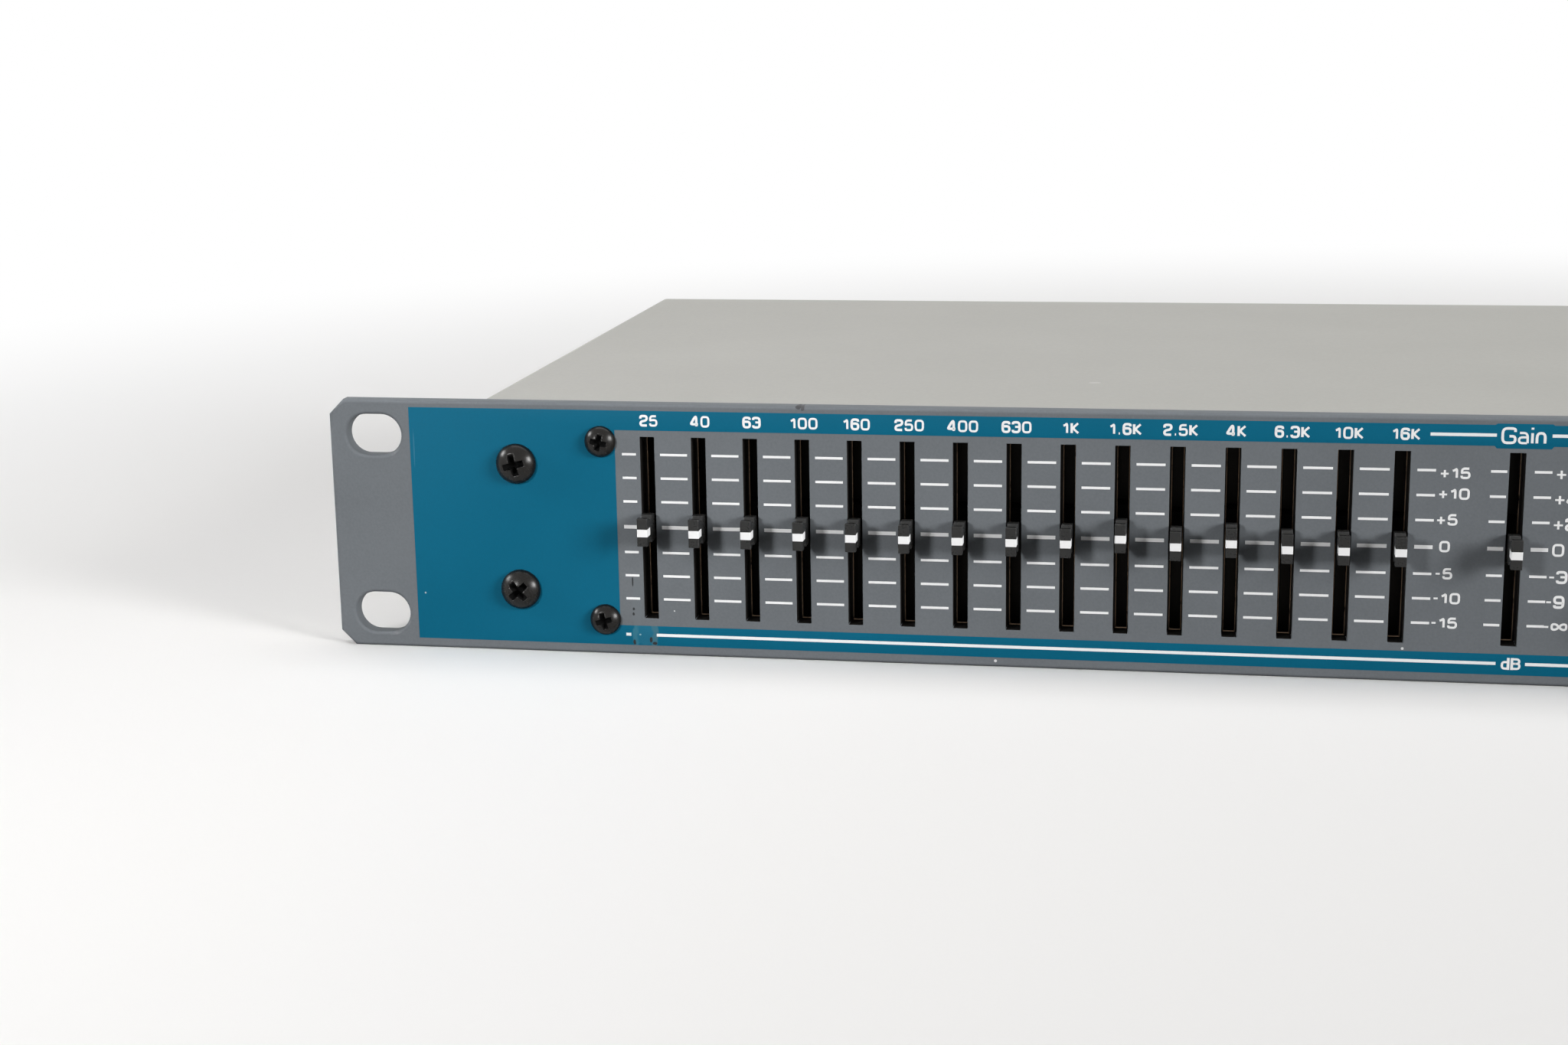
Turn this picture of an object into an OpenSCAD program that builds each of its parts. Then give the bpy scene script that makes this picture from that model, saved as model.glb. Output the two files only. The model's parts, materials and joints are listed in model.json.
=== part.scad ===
// A two-channel graphic equalizer in a one-unit rack case: a slotted front
// panel with one fader for each band, a folded tray and cover, and the boards,
// transformer, switches and sockets that sit inside and behind.
// X runs across the panel, Y runs to the back and Z runs up from the base.

/* [Front panel] */
// Height of the front panel
panel_h = 44; // [43:0.5:60]
// Thickness of the front panel
panel_t = 3.2; // [2.5:0.1:5]
// Width of the slanted cut at each panel corner
corner_cut = 2.6; // [1.5:0.1:3.5]
// Radius of the panel's front edges
panel_edge_r = 0.6; // [0.2:0.1:1.2]
// Width of the plain block at each end of the fader field
end_block_w = 36.5; // [34:0.5:60]
// Width of the bare margin outside each end block
ear_margin = 14.45; // [13.5:0.05:25]

/* [Rack slots] */
// Distance from the panel's end to a rack slot's centre
rack_slot_inset = 7.95; // [7.5:0.05:9]
// Height from the lower to the upper rack slots
rack_slot_rise = 31.75; // [28:0.05:33]
// Length of a rack slot
rack_slot_l = 9.8; // [8:0.1:11]
// Height of a rack slot
rack_slot_h = 7.1; // [6:0.1:8]

/* [Faders] */
// Distance from one fader to the next
fader_pitch = 8.89; // [8:0.01:12]
// Distance from the start of a channel to its first fader
first_fader_gap = 5.65; // [5:0.05:12]
// Distance from a channel's gain fader to the end of the channel
switch_zone_w = 41.66; // [36:0.01:60]
// Width of a fader slot
fader_slot_w = 2.5; // [2.3:0.1:3.5]
// Distance from the panel's top and bottom edges to the slot ends
fader_slot_margin = 6.1; // [5:0.1:8]
// How far the slots sit above the panel's mid-height
fader_slot_raise = 0.45; // [0:0.05:0.8]
// Corner radius of a fader slot
fader_slot_corner_r = 0.5; // [0.1:0.1:1]
// Height of the scale's zero mark above the panel's mid-height
scale_zero_raise = 0.67; // [0.3:0.01:1]
// Room between a cap's tail and the slot end at the end of its travel
travel_end_room = 1; // [0.8:0.1:3]
// How far a fader that is set flat sits above the zero mark
flat_raise = 0.2; // [0:0.05:0.4]
// How far the first channel's tenth fader sits above the zero mark
tenth_raise = 1.25; // [0:0.05:8]
// How far the first channel's twelfth fader sits above the zero mark
twelfth_raise = 0.95; // [0:0.05:8]

/* [Fader caps] */
// Width of a cap
cap_w = 1.8; // [1.6:0.1:2.1]
// Height of a cap's front block
cap_h = 4.85; // [4.6:0.05:6]
// How far a cap's front stands out of the panel
cap_reach = 5.2; // [4.5:0.1:8]
// Depth of a cap's front block
cap_head_d = 1.3; // [1:0.1:2]
// Height of a cap's tail behind its finger scoops
cap_tail_h = 4.2; // [3.8:0.1:4.5]
// How far a cap's tail reaches into the panel slot
cap_tail_in = 1; // [0.5:0.1:2]
// Radius of the finger scoops above and below a cap
cap_scoop_r = 1.4; // [1.2:0.1:1.7]
// Depth of the finger scoops below the tail's edge
cap_scoop_depth = 0.5; // [0.2:0.05:0.6]
// Clearance between a cap and the lever it is pushed on
cap_press_gap = 0.05; // [0.02:0.01:0.1]

/* [Fader bodies] */
// Gap between neighbouring fader housings
housing_side_gap = 1.5; // [1:0.1:2]
// Gap between the panel's back and the housings
housing_set_back = 1; // [0.6:0.1:3]
// Depth of a fader housing
housing_d = 6.6; // [6:0.1:9]
// Gap between the housings' top ends and the cover
housing_head_gap = 0.55; // [0.3:0.05:1]
// Thickness of a housing's folded metal
housing_wall = 0.6; // [0.4:0.1:0.8]
// Thickness of a housing's base
housing_base = 1; // [0.8:0.1:1.4]
// Thickness of a fader's lever
lever_t = 0.9; // [0.6:0.1:1.1]
// Height of a fader's lever
lever_h = 2.2; // [1.6:0.1:2.5]
// Gap on each side of the lever in the housing's slot
lever_side_gap = 0.4; // [0.2:0.1:0.8]
// Height of the carriage that slides in the housing
carriage_h = 7; // [5:0.1:8]
// Running gap round the carriage
run_gap = 0.3; // [0.2:0.05:0.5]

/* [Switches and lamps] */
// Distance from the gain fader to the bypass button
bypass_offset = 20; // [14:0.5:30]
// How far the bypass button sits below mid-height
bypass_drop = 9; // [7:0.5:12]
// Width and height of a bypass button
button_w = 6; // [5:0.1:8]
// How far a released button stands out of the panel
button_reach = 4; // [3.5:0.1:5]
// Travel of a button
button_travel = 2.5; // [1.5:0.1:2.6]
// Gap round a button in the panel
button_gap = 0.25; // [0.2:0.05:0.5]
// Width of a button's plunger
plunger_w = 3; // [2:0.1:4]
// Wall of the push switch body round its plunger
push_body_wall = 2.6; // [1.5:0.1:3]
// Distance from the panel's end to the rocker's centre
rocker_inset = 44.5; // [44:0.1:46]
// Width of the rocker
rocker_w = 8; // [7:0.1:8.4]
// Radius of the rocker's rounded ends about its axle
rocker_r = 6.2; // [5.5:0.1:6.8]
// Angle between the rocker's two positions
rocker_swing = 20; // [12:1:24]
// How far the rocker's middle stands out of the panel
rocker_proud = 1.2; // [0.8:0.1:2]
// Gap round the rocker in its frame
rocker_gap = 0.2; // [0.15:0.05:0.4]
// Wall of the rocker's frame
rocker_wall = 1; // [0.8:0.1:1.2]
// Width of the rim round the rocker's frame
rocker_rim_w = 1; // [0.6:0.1:1.2]
// How far the rocker's rim stands out of the panel
rocker_rim_proud = 1.5; // [1:0.1:2.5]
// Depth of the rocker's frame behind the panel
rocker_body_d = 14; // [10:0.5:20]
// Diameter of the rocker's axle
rocker_axle_d = 2; // [1.5:0.1:2.5]
// Diameter of a lamp's lens
lamp_d = 3; // [2:0.1:4]
// Height from one lamp to the next above a bypass button
lamp_rise = 10; // [8:0.5:11]

/* [Case] */
// Distance from the panel's end to the cover's side
case_inset = 24.6; // [24:0.1:26]
// Depth from the panel's front face to the rear wall's outer face
case_depth = 146; // [135:1:220]
// Thickness of the case's sheet metal
sheet_t = 1.2; // [1:0.1:1.6]
// How far the cover lies below the panel's top edge
cover_drop = 1; // [0.5:0.1:2]
// Height of the cover's side skirts
skirt_h = 20; // [14:0.5:28]
// Outside radius of the sheet metal bends
bend_r = 1.8; // [1.7:0.1:3]
// Radius of the cover's front edge
cover_edge_r = 0.8; // [0.3:0.1:1]
// Gap between the cover's skirts and the tray
fold_gap = 0.15; // [0.1:0.05:0.3]
// Width of the tray's flanges behind the panel
front_flange_w = 12.9; // [12:0.1:13]
// Depth of the tray's flange under the cover's rear edge
rear_flange_d = 9; // [6:0.5:12]

/* [Screws] */
// Head diameter of the large screws
large_head_d = 7; // [6:0.1:7.6]
// Head height of the large screws
large_head_h = 2.4; // [2:0.1:3]
// Shank diameter of the large screws
large_shank_d = 3.4; // [3:0.1:4]
// Length of the cross recess in the large screws
large_cross_l = 4; // [3:0.1:4.6]
// Head diameter of the small screws
small_head_d = 5.4; // [4.6:0.1:5.8]
// Head height of the small screws
small_head_h = 1.9; // [1.5:0.1:2.4]
// Shank diameter of the small screws
small_shank_d = 2.6; // [2:0.1:2.9]
// Length of the cross recess in the small screws
small_cross_l = 3; // [2:0.1:3.6]
// Width of a cross recess's arms
cross_w = 1.1; // [0.6:0.1:1.2]
// Depth of a cross recess
cross_depth = 1.4; // [0.8:0.1:1.5]
// Width and length of a cross recess's floor, as a share of its mouth
cross_taper = 0.6; // [0.4:0.05:0.9]
// Turn of the cross recess in the upper large and lower small panel screws, in degrees
first_cross_turn = 14; // [0:1:89]
// Turn of the cross recess in the lower large and upper small panel screws, in degrees
second_cross_turn = 45; // [0:1:89]
// Height of the rim under a screw head's dome
head_rim_h = 1; // [0.3:0.05:1.2]
// Clearance between a screw and its hole
screw_gap = 0.06; // [0.03:0.01:0.15]
// Distance from the panel's end to the large panel screws
panel_screw_inset = 33.45; // [33.2:0.05:34]
// Height between the large panel screws
panel_screw_rise = 22.2; // [20:0.1:26]
// How far the large panel screws sit above mid-height
panel_screw_raise = 0.2; // [0:0.1:1]
// Distance from a channel's first fader to the small screws beside it
board_screw_lead = 8.15; // [7.6:0.05:8.5]
// Distance from the panel's top and bottom edges to the small panel screws
board_screw_margin = 6.35; // [6.2:0.05:7]
// How far the small panel screws sit above mid-height
board_screw_raise = -0.2; // [-0.4:0.05:0.4]
// Diameter of the clinched nuts
clinch_nut_d = 7; // [6:0.1:7.6]
// Height of the clinched nuts
clinch_nut_h = 2.4; // [2:0.1:4]
// Distance from the case's ends to the cover screws
cover_screw_inset = 26; // [15:0.5:40]

/* [Boards and power] */
// Thickness of the circuit boards
board_t = 1.6; // [1:0.1:2]
// Width across the flats of the slider board's spacers
spacer_af = 5; // [4.5:0.1:5.5]
// Bare margin of the slider board outside its end screws
slider_board_margin = 10.3; // [10:0.1:10.6]
// Gap between the slider board and the rocker's frame
board_notch_gap = 0.5; // [0.3:0.1:1]
// Distance from the front panel to the main board
main_board_front = 24; // [20:1:40]
// Gap between the main board and the rear wall
main_board_rear_gap = 4; // [2:0.5:8]
// Gap between the main board's left edge and the tray's side
main_board_side_gap = 8; // [5:0.5:12]
// Length of the main board
main_board_l = 300; // [280:5:310]
// Gap between the main board and the sockets above it
main_board_head_gap = 0.5; // [0.3:0.1:2]
// Diameter of the main board's support posts
post_d = 6; // [5:0.1:8]
// Diameter of the post ends that pass through the board
post_peg_d = 3; // [2:0.1:3.5]
// Distance from the main board's edges to its posts
post_inset = 8; // [6:0.5:12]
// Diameter of a filter capacitor
capacitor_d = 12.5; // [8:0.5:14]
// Height of a filter capacitor
capacitor_h = 25; // [15:0.5:28]
// Width of the transformer's core
core_w = 45; // [40:0.5:52]
// Gap between the transformer's core and the cover
core_head_gap = 3.1; // [2:0.1:8]
// Depth of the transformer's stack of plates
core_d = 24; // [18:0.5:32]
// Width of the core's outer legs and yokes
core_leg_w = 7.5; // [6:0.1:9]
// How far the winding stands out of the core
winding_reach = 7; // [4:0.5:10]
// Distance from the case's right side to the transformer's centre
transformer_inset = 62; // [56:1:70]
// Distance from the panel's back to the transformer's centre
transformer_set_back = 55.8; // [45:0.1:70]
// Diameter of a power lead
lead_d = 2.4; // [1.6:0.1:3]
// Thickness of a ribbon cable
ribbon_t = 1; // [0.8:0.1:1.5]
// Width of a ribbon cable
ribbon_w = 33; // [20:1:50]
// Depth and height of a ribbon cable's headers
ribbon_header = 4; // [3:0.5:6]

/* [Rear sockets] */
// Distance from the case's left side to the first socket
socket_row_inset = 26; // [20:0.5:30]
// Distance from the first channel's sockets to the second channel's
socket_row_pitch = 115; // [100:1:120]
// Distance from a round three-pin socket to the jack beside it
socket_jack_gap = 25; // [22:0.5:28]
// Distance between the two jacks of a channel
jack_pitch = 20; // [18:0.5:24]
// Width of a three-pin socket's flange
xlr_flange_w = 26; // [24:0.5:28]
// Height of a three-pin socket's flange
xlr_flange_h = 31; // [29:0.5:33]
// Thickness of a three-pin socket's flange
xlr_flange_t = 2.2; // [1.5:0.1:2.6]
// Diameter of a three-pin socket's body
xlr_body_d = 23.8; // [22.5:0.1:24]
// Depth of a three-pin socket's body behind the rear wall
xlr_body_depth = 20; // [18:0.5:26]
// Diameter of a three-pin socket's mouth
xlr_mouth_d = 19; // [18:0.1:19.5]
// Diameter of the contact block in an input socket
xlr_insert_d = 15.2; // [14:0.1:16]
// Depth of a three-pin socket's mouth
xlr_mouth_depth = 14; // [10:0.5:16]
// Radius of the circle the three pins stand on
xlr_pin_r = 4.1; // [3.5:0.1:4.4]
// Diameter of an output socket's pins
xlr_pin_d = 2.4; // [2:0.1:2.6]
// Clearance of a contact hole round a pin
contact_gap = 0.25; // [0.1:0.05:0.4]
// Distance across between a three-pin socket's screws
xlr_screw_x = 19; // [18.5:0.1:20]
// Distance up between a three-pin socket's screws
xlr_screw_z = 24; // [23:0.1:25]
// Bore of a jack
jack_bore_d = 6.5; // [6.3:0.1:7]
// Depth of a jack's bore
jack_bore_depth = 24; // [18:0.5:24]
// Diameter of a jack's threaded neck
jack_neck_d = 11; // [9.5:0.1:12]
// How far a jack's neck stands out of the rear wall
jack_reach = 4.8; // [4.6:0.1:7]
// Width and height of a jack's body
jack_body_w = 15; // [13:0.5:17]
// Depth of a jack's body behind the rear wall
jack_body_depth = 22; // [20:0.5:26]
// Width across the flats of a jack's nut
jack_nut_af = 14; // [13:0.5:17]
// Thickness of a jack's nut
jack_nut_t = 2.2; // [1.5:0.1:3]
// Distance from the case's right side to the mains inlet
inlet_inset = 45; // [40:0.5:60]
// Width of the mains inlet's flange
inlet_flange_w = 50; // [48:0.5:54]
// Height of the mains inlet's flange
inlet_flange_h = 28; // [25:0.5:32]
// Thickness of the mains inlet's flange
inlet_flange_t = 2.6; // [2:0.1:2.8]
// Width of the mains inlet's cavity
inlet_cavity_w = 24.4; // [24:0.1:25]
// Height of the mains inlet's cavity
inlet_cavity_h = 16.8; // [16.5:0.1:17.5]
// Depth of the mains inlet's cavity
inlet_cavity_depth = 15; // [13:0.5:17]
// Wall round the mains inlet's cavity
inlet_wall = 1.8; // [1.2:0.1:2]
// Distance between the mains inlet's screws
inlet_screw_pitch = 40; // [39:0.1:41]

/* [Hidden] */
$fn = 48;
// How far a cutting shape reaches past the surface that it cuts
over = 1;

BANDS = ["25", "40", "63", "100", "160", "250", "400", "630",
    "1k", "1k6", "2k5", "4k", "6k3", "10k", "16k"];
CHANNELS = [0, 1];
GAIN = len(BANDS);
FADERS = [for (c = CHANNELS, i = [0 : GAIN]) [c, i]];

function fader_name(c, i) =
    i == GAIN ? str("ch", c + 1, "_gain_fader") : str("ch", c + 1, "_fader_", BANDS[i]);
function button_name(c) = str("ch", c + 1, "_bypass_button");

// Panel layout
channel_w = first_fader_gap + (GAIN + 1) * fader_pitch + switch_zone_w;
panel_w = 2 * (channel_w + end_block_w + ear_margin);
mid_z = panel_h / 2;
panel_back = panel_t;
front_y = (cap_reach - case_depth - jack_reach) / 2;
rack_slot_x = panel_w / 2 - rack_slot_inset;

// The gain fader stands one empty place after the last band
function fader_x(c, i) =
    (c - 1) * channel_w + first_fader_gap + (i == GAIN ? GAIN + 1 : i) * fader_pitch;
function bypass_x(c) = fader_x(c, GAIN) + bypass_offset;

// Faders
slot_z = mid_z + fader_slot_raise;
slot_l = panel_h - 2 * fader_slot_margin;
fader_travel = slot_l - cap_tail_h - 2 * travel_end_room;
zero_z = mid_z + scale_zero_raise;
function fader_z(c, i) =
    zero_z + (c == 0 && i == 9 ? tenth_raise : c == 0 && i == 11 ? twelfth_raise : flat_raise);
lever_tip_y = -cap_reach + cap_head_d + housing_wall;

// Case
case_w = panel_w - 2 * case_inset;
cover_top = panel_h - cover_drop;
cover_under = cover_top - sheet_t;
tray_w = case_w - 2 * (sheet_t + fold_gap);
tray_wall_h = cover_under - bend_r;
rear_y = case_depth;
cover_screw_z = cover_top - skirt_h / 2;
cover_screw_ys = [cover_screw_inset, case_depth - cover_screw_inset];

// Fader housings and the board they stand on
housing_w = fader_pitch - housing_side_gap;
housing_half = cover_under - housing_head_gap - slot_z;
housing_y = panel_back + housing_set_back;
board_y = housing_y + housing_d;
carriage_w = housing_w - 2 * (housing_wall + run_gap);
carriage_y = housing_y + housing_wall + run_gap;
carriage_d = housing_d - housing_wall - housing_base - 2 * run_gap;
slider_board_h = 2 * (housing_half - over);

// Screws: head diameter, head height, shank diameter, length of the cross recess
large_screw = [large_head_d, large_head_h, large_shank_d, large_cross_l];
small_screw = [small_head_d, small_head_h, small_shank_d, small_cross_l];
function hole_d(screw) = screw[2] + 2 * screw_gap;

panel_screw_x = panel_w / 2 - panel_screw_inset;
panel_screw_zs = [for (s = [-1, 1]) mid_z + panel_screw_raise + s * panel_screw_rise / 2];
board_screw_end = -(fader_x(0, 0) - board_screw_lead);
board_screw_xs = [-board_screw_end, fader_x(1, 0) - board_screw_lead, board_screw_end];
board_screw_zs = [for (s = [-1, 1]) mid_z + board_screw_raise + s * (panel_h / 2 - board_screw_margin)];
slider_board_half = board_screw_end + slider_board_margin;
spacer_l = board_y - panel_back;
panel_screw_l = panel_t + sheet_t + clinch_nut_h;
cover_screw_l = 2 * sheet_t + fold_gap + clinch_nut_h;
board_screw_bite = 3;

// Switches and lamps
rocker_x = panel_w / 2 - rocker_inset;
rocker_open_w = rocker_w + 2 * rocker_gap;
rocker_open_h = 2 * (rocker_r + rocker_gap);
rocker_body_w = rocker_open_w + 2 * rocker_wall;
rocker_body_h = rocker_open_h + 2 * rocker_wall;
rocker_axle_y = 0.5;
rocker_axle_bite = 0.7;
rocker_cut_gap = 0.1;
rocker_floor = 2;
bypass_z = mid_z - bypass_drop;
button_hole_w = button_w + 2 * button_gap;
button_back = panel_back + over;
push_body_y = button_back + button_travel + button_gap;
push_body_w = plunger_w + 2 * (button_gap + push_body_wall);
lamp_reach = 1;
lamp_gap = 0.15;
lamp_collar = 0.8;
power_lamp_shift = 2.5;
power_lamp_rise = 12.6;
power_lamp_x = rocker_x + power_lamp_shift;
power_lamp_z = mid_z + power_lamp_rise;
lamp_places = concat(
    [for (c = CHANNELS, k = [1, 2]) [bypass_x(c), bypass_z + k * lamp_rise]],
    [[power_lamp_x, power_lamp_z]]);

// Main board and what stands on it
main_board_top = mid_z - xlr_body_d / 2 - main_board_head_gap;
main_board_z = main_board_top - board_t;
main_board_x = -tray_w / 2 + sheet_t + main_board_side_gap;
main_board_d = rear_y - sheet_t - main_board_rear_gap - main_board_front;
post_xs = [for (k = [0 : 3]) main_board_x + post_inset + k * (main_board_l - 2 * post_inset) / 3];
post_ys = [main_board_front + post_inset, main_board_front + main_board_d - post_inset];
post_proud = main_board_head_gap / 2;
chip = [9.8, 6.4, 3.6];
chip_pitch = 17;
chips_in_row = 8;
chip_rows = 2;
chip_row_pitch = 26;
chip_row_set_back = 22;
chip_row_front = main_board_front + chip_row_set_back;
chip_notch_d = 1.6;
regulator_body = [10.2, 4.4, 9];
regulator_tab_t = 1.3;
regulator_tab_h = 15.5;
regulator_hole_d = 3.6;
regulator_hole_drop = 3;
regulator_pitch = 16;
regulator_set_back = 10;
power_corner_inset = 14;
power_corner_x = main_board_x + main_board_l - power_corner_inset;
capacitor_gap = 3;
capacitor_pitch = capacitor_d + capacitor_gap;
capacitor_set_back = 45;
capacitor_groove_r = 1;
capacitor_groove_depth = 0.4;
capacitor_groove_h = 3;

// Transformer: three legs and two windows
core_h = cover_under - sheet_t - core_head_gap;
core_centre_w = 2 * core_leg_w;
core_window_w = (core_w - core_centre_w - 2 * core_leg_w) / 2;
core_window_h = core_h - 2 * core_leg_w;
winding_gap = 0.2;
transformer_x = case_w / 2 - transformer_inset;
transformer_y = panel_back + transformer_set_back;
transformer_z = sheet_t + core_h / 2;

// Power leads, whose runs are never upright
lead_sides = 8;
function unit(v) = v / norm(v);
function lead_run(p, k) = k < 0 || k > len(p) - 2 ? [0, 0, 0] : unit(p[k + 1] - p[k]);
function lead_ring(p, k) =
    let (along = unit(lead_run(p, k - 1) + lead_run(p, k)), side = unit(cross(along, [0, 0, 1])))
    [for (s = [0 : lead_sides - 1]) let (a = s * 360 / lead_sides)
        p[k] + lead_d / 2 * (cos(a) * side + sin(a) * cross(side, along))];

// Rear sockets, each channel's in a row: input, two jacks, output
function socket_x(c, k) = -case_w / 2 + socket_row_inset + c * socket_row_pitch
    + (k > 0 ? socket_jack_gap : 0) + (k > 1 ? jack_pitch : 0) + (k > 2 ? socket_jack_gap : 0);
socket_z = mid_z;
xlr_cut_gap = 0.2;
xlr_corner_r = 2.5;
xlr_pin_recess = 1.6;
insert_seat_gap = 0.1;
xlr_screw_signs = [[-1, 1], [1, -1]];
jack_cut_gap = 0.1;
jack_bore_tip = 1.2;
jack_xs = [for (c = CHANNELS, k = [1, 2]) socket_x(c, k)];
input_xs = [for (c = CHANNELS) socket_x(c, 0)];
output_xs = [for (c = CHANNELS) socket_x(c, 3)];
pin_angles = [30, 150, 270];
inlet_x = case_w / 2 - inlet_inset;
inlet_body_w = inlet_cavity_w + 2 * inlet_wall;
inlet_body_h = inlet_cavity_h + 2 * inlet_wall;
inlet_body_back = rear_y + inlet_flange_t - inlet_cavity_depth - inlet_wall;
inlet_corner_r = 3;
inlet_cut_gap = 0.2;
inlet_pin = [2, 4];
inlet_pin_recess = 2;
inlet_pin_places = [[-7, -2], [0, 2], [7, -2]];
socket_screw_bite = 1.5;

// Moves the panel's own frame, whose front face lies at y = 0, to the part's frame
module placed() translate([0, front_y, 0]) children();

// Extrudes a front view from depth y backwards by t
module plate(y, t) translate([0, y + t, 0]) rotate([90, 0, 0]) linear_extrude(t) children();

// Turn what stands along +Z to run along +Y or -Y
module backward() rotate([-90, 0, 0]) children();
module forward() rotate([90, 0, 0]) children();

module rounded_rect(w, h, r) {
    square([w - 2 * r, h], center = true);
    square([w, h - 2 * r], center = true);
    for (x = [-1, 1], y = [-1, 1]) translate([x * (w / 2 - r), y * (h / 2 - r)]) circle(r);
}

module obround(l, h) {
    square([l - h, h], center = true);
    for (s = [-1, 1]) translate([s * (l - h) / 2, 0]) circle(d = h);
}

// Cuts the front edge of a face whose outer side points up, along X
module edge_rounding(l, r) difference() {
    translate([-l / 2, -over, -r]) cube([l, r + over, r + over]);
    translate([-l / 2 - over, r, -r]) rotate([0, 90, 0]) cylinder(r = r, h = l + 2 * over);
}

// Front view of a sheet folded up at both sides
module cup(w, h, r) {
    translate([-w / 2, r]) square([w, h - r]);
    translate([-w / 2 + r, 0]) square([w - 2 * r, 2 * r]);
    for (s = [-1, 1]) translate([s * (w / 2 - r), r]) circle(r);
}

module folded_sheet(w, h) difference() {
    cup(w, h, bend_r);
    translate([0, sheet_t]) cup(w - 2 * sheet_t, h, bend_r - sheet_t);
}

// Domed screw with a tapered cross recess: head below z = 0, shank up to z = l
module pan_screw(screw, l, turn = 0) {
    head_r = screw[0] / 2;
    dome_h = screw[1] - head_rim_h;
    dome_r = (head_r * head_r + dome_h * dome_h) / (2 * dome_h);
    difference() {
        union() {
            rotate_extrude() intersection() {
                translate([0, -screw[1]]) square([head_r, screw[1]]);
                translate([0, dome_r - screw[1]]) circle(dome_r);
            }
            cylinder(d = screw[2], h = l);
        }
        translate([0, 0, -screw[1] - over]) rotate(turn)
            linear_extrude(cross_depth + over, scale = cross_taper) {
                square([screw[3], cross_w], center = true);
                square([cross_w, screw[3]], center = true);
            }
    }
}

module panel_outline() {
    half = panel_w / 2;
    polygon([[-half, corner_cut], [-half + corner_cut, 0], [half - corner_cut, 0], [half, corner_cut],
        [half, panel_h - corner_cut], [half - corner_cut, panel_h],
        [-half + corner_cut, panel_h], [-half, panel_h - corner_cut]]);
}

module panel_holes() {
    for (sx = [-1, 1], sz = [-1, 1])
        translate([sx * rack_slot_x, mid_z + sz * rack_slot_rise / 2]) obround(rack_slot_l, rack_slot_h);
    for (f = FADERS) translate([fader_x(f[0], f[1]), slot_z])
        rounded_rect(fader_slot_w, slot_l, fader_slot_corner_r);
    for (sx = [-1, 1], z = panel_screw_zs) translate([sx * panel_screw_x, z]) circle(d = hole_d(large_screw));
    for (x = board_screw_xs, z = board_screw_zs) translate([x, z]) circle(d = hole_d(small_screw));
    for (c = CHANNELS) translate([bypass_x(c), bypass_z]) square(button_hole_w, center = true);
    for (p = lamp_places) translate(p) circle(d = lamp_d + 2 * lamp_gap);
    translate([rocker_x, mid_z])
        square([rocker_body_w + 2 * rocker_cut_gap, rocker_body_h + 2 * rocker_cut_gap], center = true);
}

module front_panel() color("dimgray") difference() {
    plate(0, panel_t) difference() {
        panel_outline();
        panel_holes();
    }
    translate([0, 0, panel_h]) edge_rounding(panel_w, panel_edge_r);
    rotate([0, 180, 0]) edge_rounding(panel_w, panel_edge_r);
    for (s = [-1, 1]) {
        translate([s * panel_w / 2, 0, mid_z]) rotate([0, s * 90, 0]) edge_rounding(panel_h, panel_edge_r);
        translate([s * (panel_w - corner_cut) / 2, 0, panel_h - corner_cut / 2]) rotate([0, s * 45, 0])
            edge_rounding(panel_h, panel_edge_r);
        translate([s * (panel_w - corner_cut) / 2, 0, corner_cut / 2]) rotate([0, s * 135, 0])
            edge_rounding(panel_h, panel_edge_r);
    }
}

module rear_wall_outline() difference() {
    union() {
        cup(tray_w, tray_wall_h, bend_r);
        translate([-tray_w / 2 + bend_r, 0]) translate([0, bend_r])
            square([tray_w - 2 * bend_r, cover_under - bend_r]);
    }
    for (x = concat(input_xs, output_xs)) translate([x, socket_z]) {
        circle(d = xlr_body_d + 2 * xlr_cut_gap);
        for (s = xlr_screw_signs) translate([s[0] * xlr_screw_x / 2, s[1] * xlr_screw_z / 2])
            circle(d = hole_d(small_screw));
    }
    for (x = jack_xs) translate([x, socket_z]) circle(d = jack_neck_d + 2 * jack_cut_gap);
    translate([inlet_x, socket_z]) {
        square([inlet_body_w + 2 * inlet_cut_gap, inlet_body_h + 2 * inlet_cut_gap], center = true);
        for (s = [-1, 1]) translate([s * inlet_screw_pitch / 2, 0]) circle(d = hole_d(small_screw));
    }
}

// A cover screw's axis, from outside the skirt into the case
module cover_screw_places() for (s = [-1, 1], y = cover_screw_ys)
    translate([s * case_w / 2, y, cover_screw_z]) rotate([0, -s * 90, 0]) children();

module chassis_tray() color("slategray") difference() {
    union() {
        plate(panel_back, rear_y - panel_back) folded_sheet(tray_w, tray_wall_h);
        plate(rear_y - sheet_t, sheet_t) rear_wall_outline();
        translate([-tray_w / 2 + bend_r, rear_y - rear_flange_d, cover_under - sheet_t])
            cube([tray_w - 2 * bend_r, rear_flange_d, sheet_t]);
        for (s = [-1, 1]) {
            plate(panel_back, sheet_t)
                translate([s * (tray_w - front_flange_w) / 2, tray_wall_h / 2 + bend_r / 2])
                square([front_flange_w, tray_wall_h - bend_r], center = true);
            for (z = panel_screw_zs) translate([s * panel_screw_x, panel_back, z])
                backward() cylinder(d = clinch_nut_d, h = sheet_t + clinch_nut_h);
        }
        cover_screw_places() translate([0, 0, sheet_t + fold_gap])
            cylinder(d = clinch_nut_d, h = sheet_t + clinch_nut_h);
    }
    for (s = [-1, 1], z = panel_screw_zs) translate([s * panel_screw_x, panel_back - over, z])
        backward() cylinder(d = hole_d(large_screw), h = sheet_t + clinch_nut_h + 2 * over);
    cover_screw_places() cylinder(d = hole_d(large_screw), h = cover_screw_l + over);
}

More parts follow.
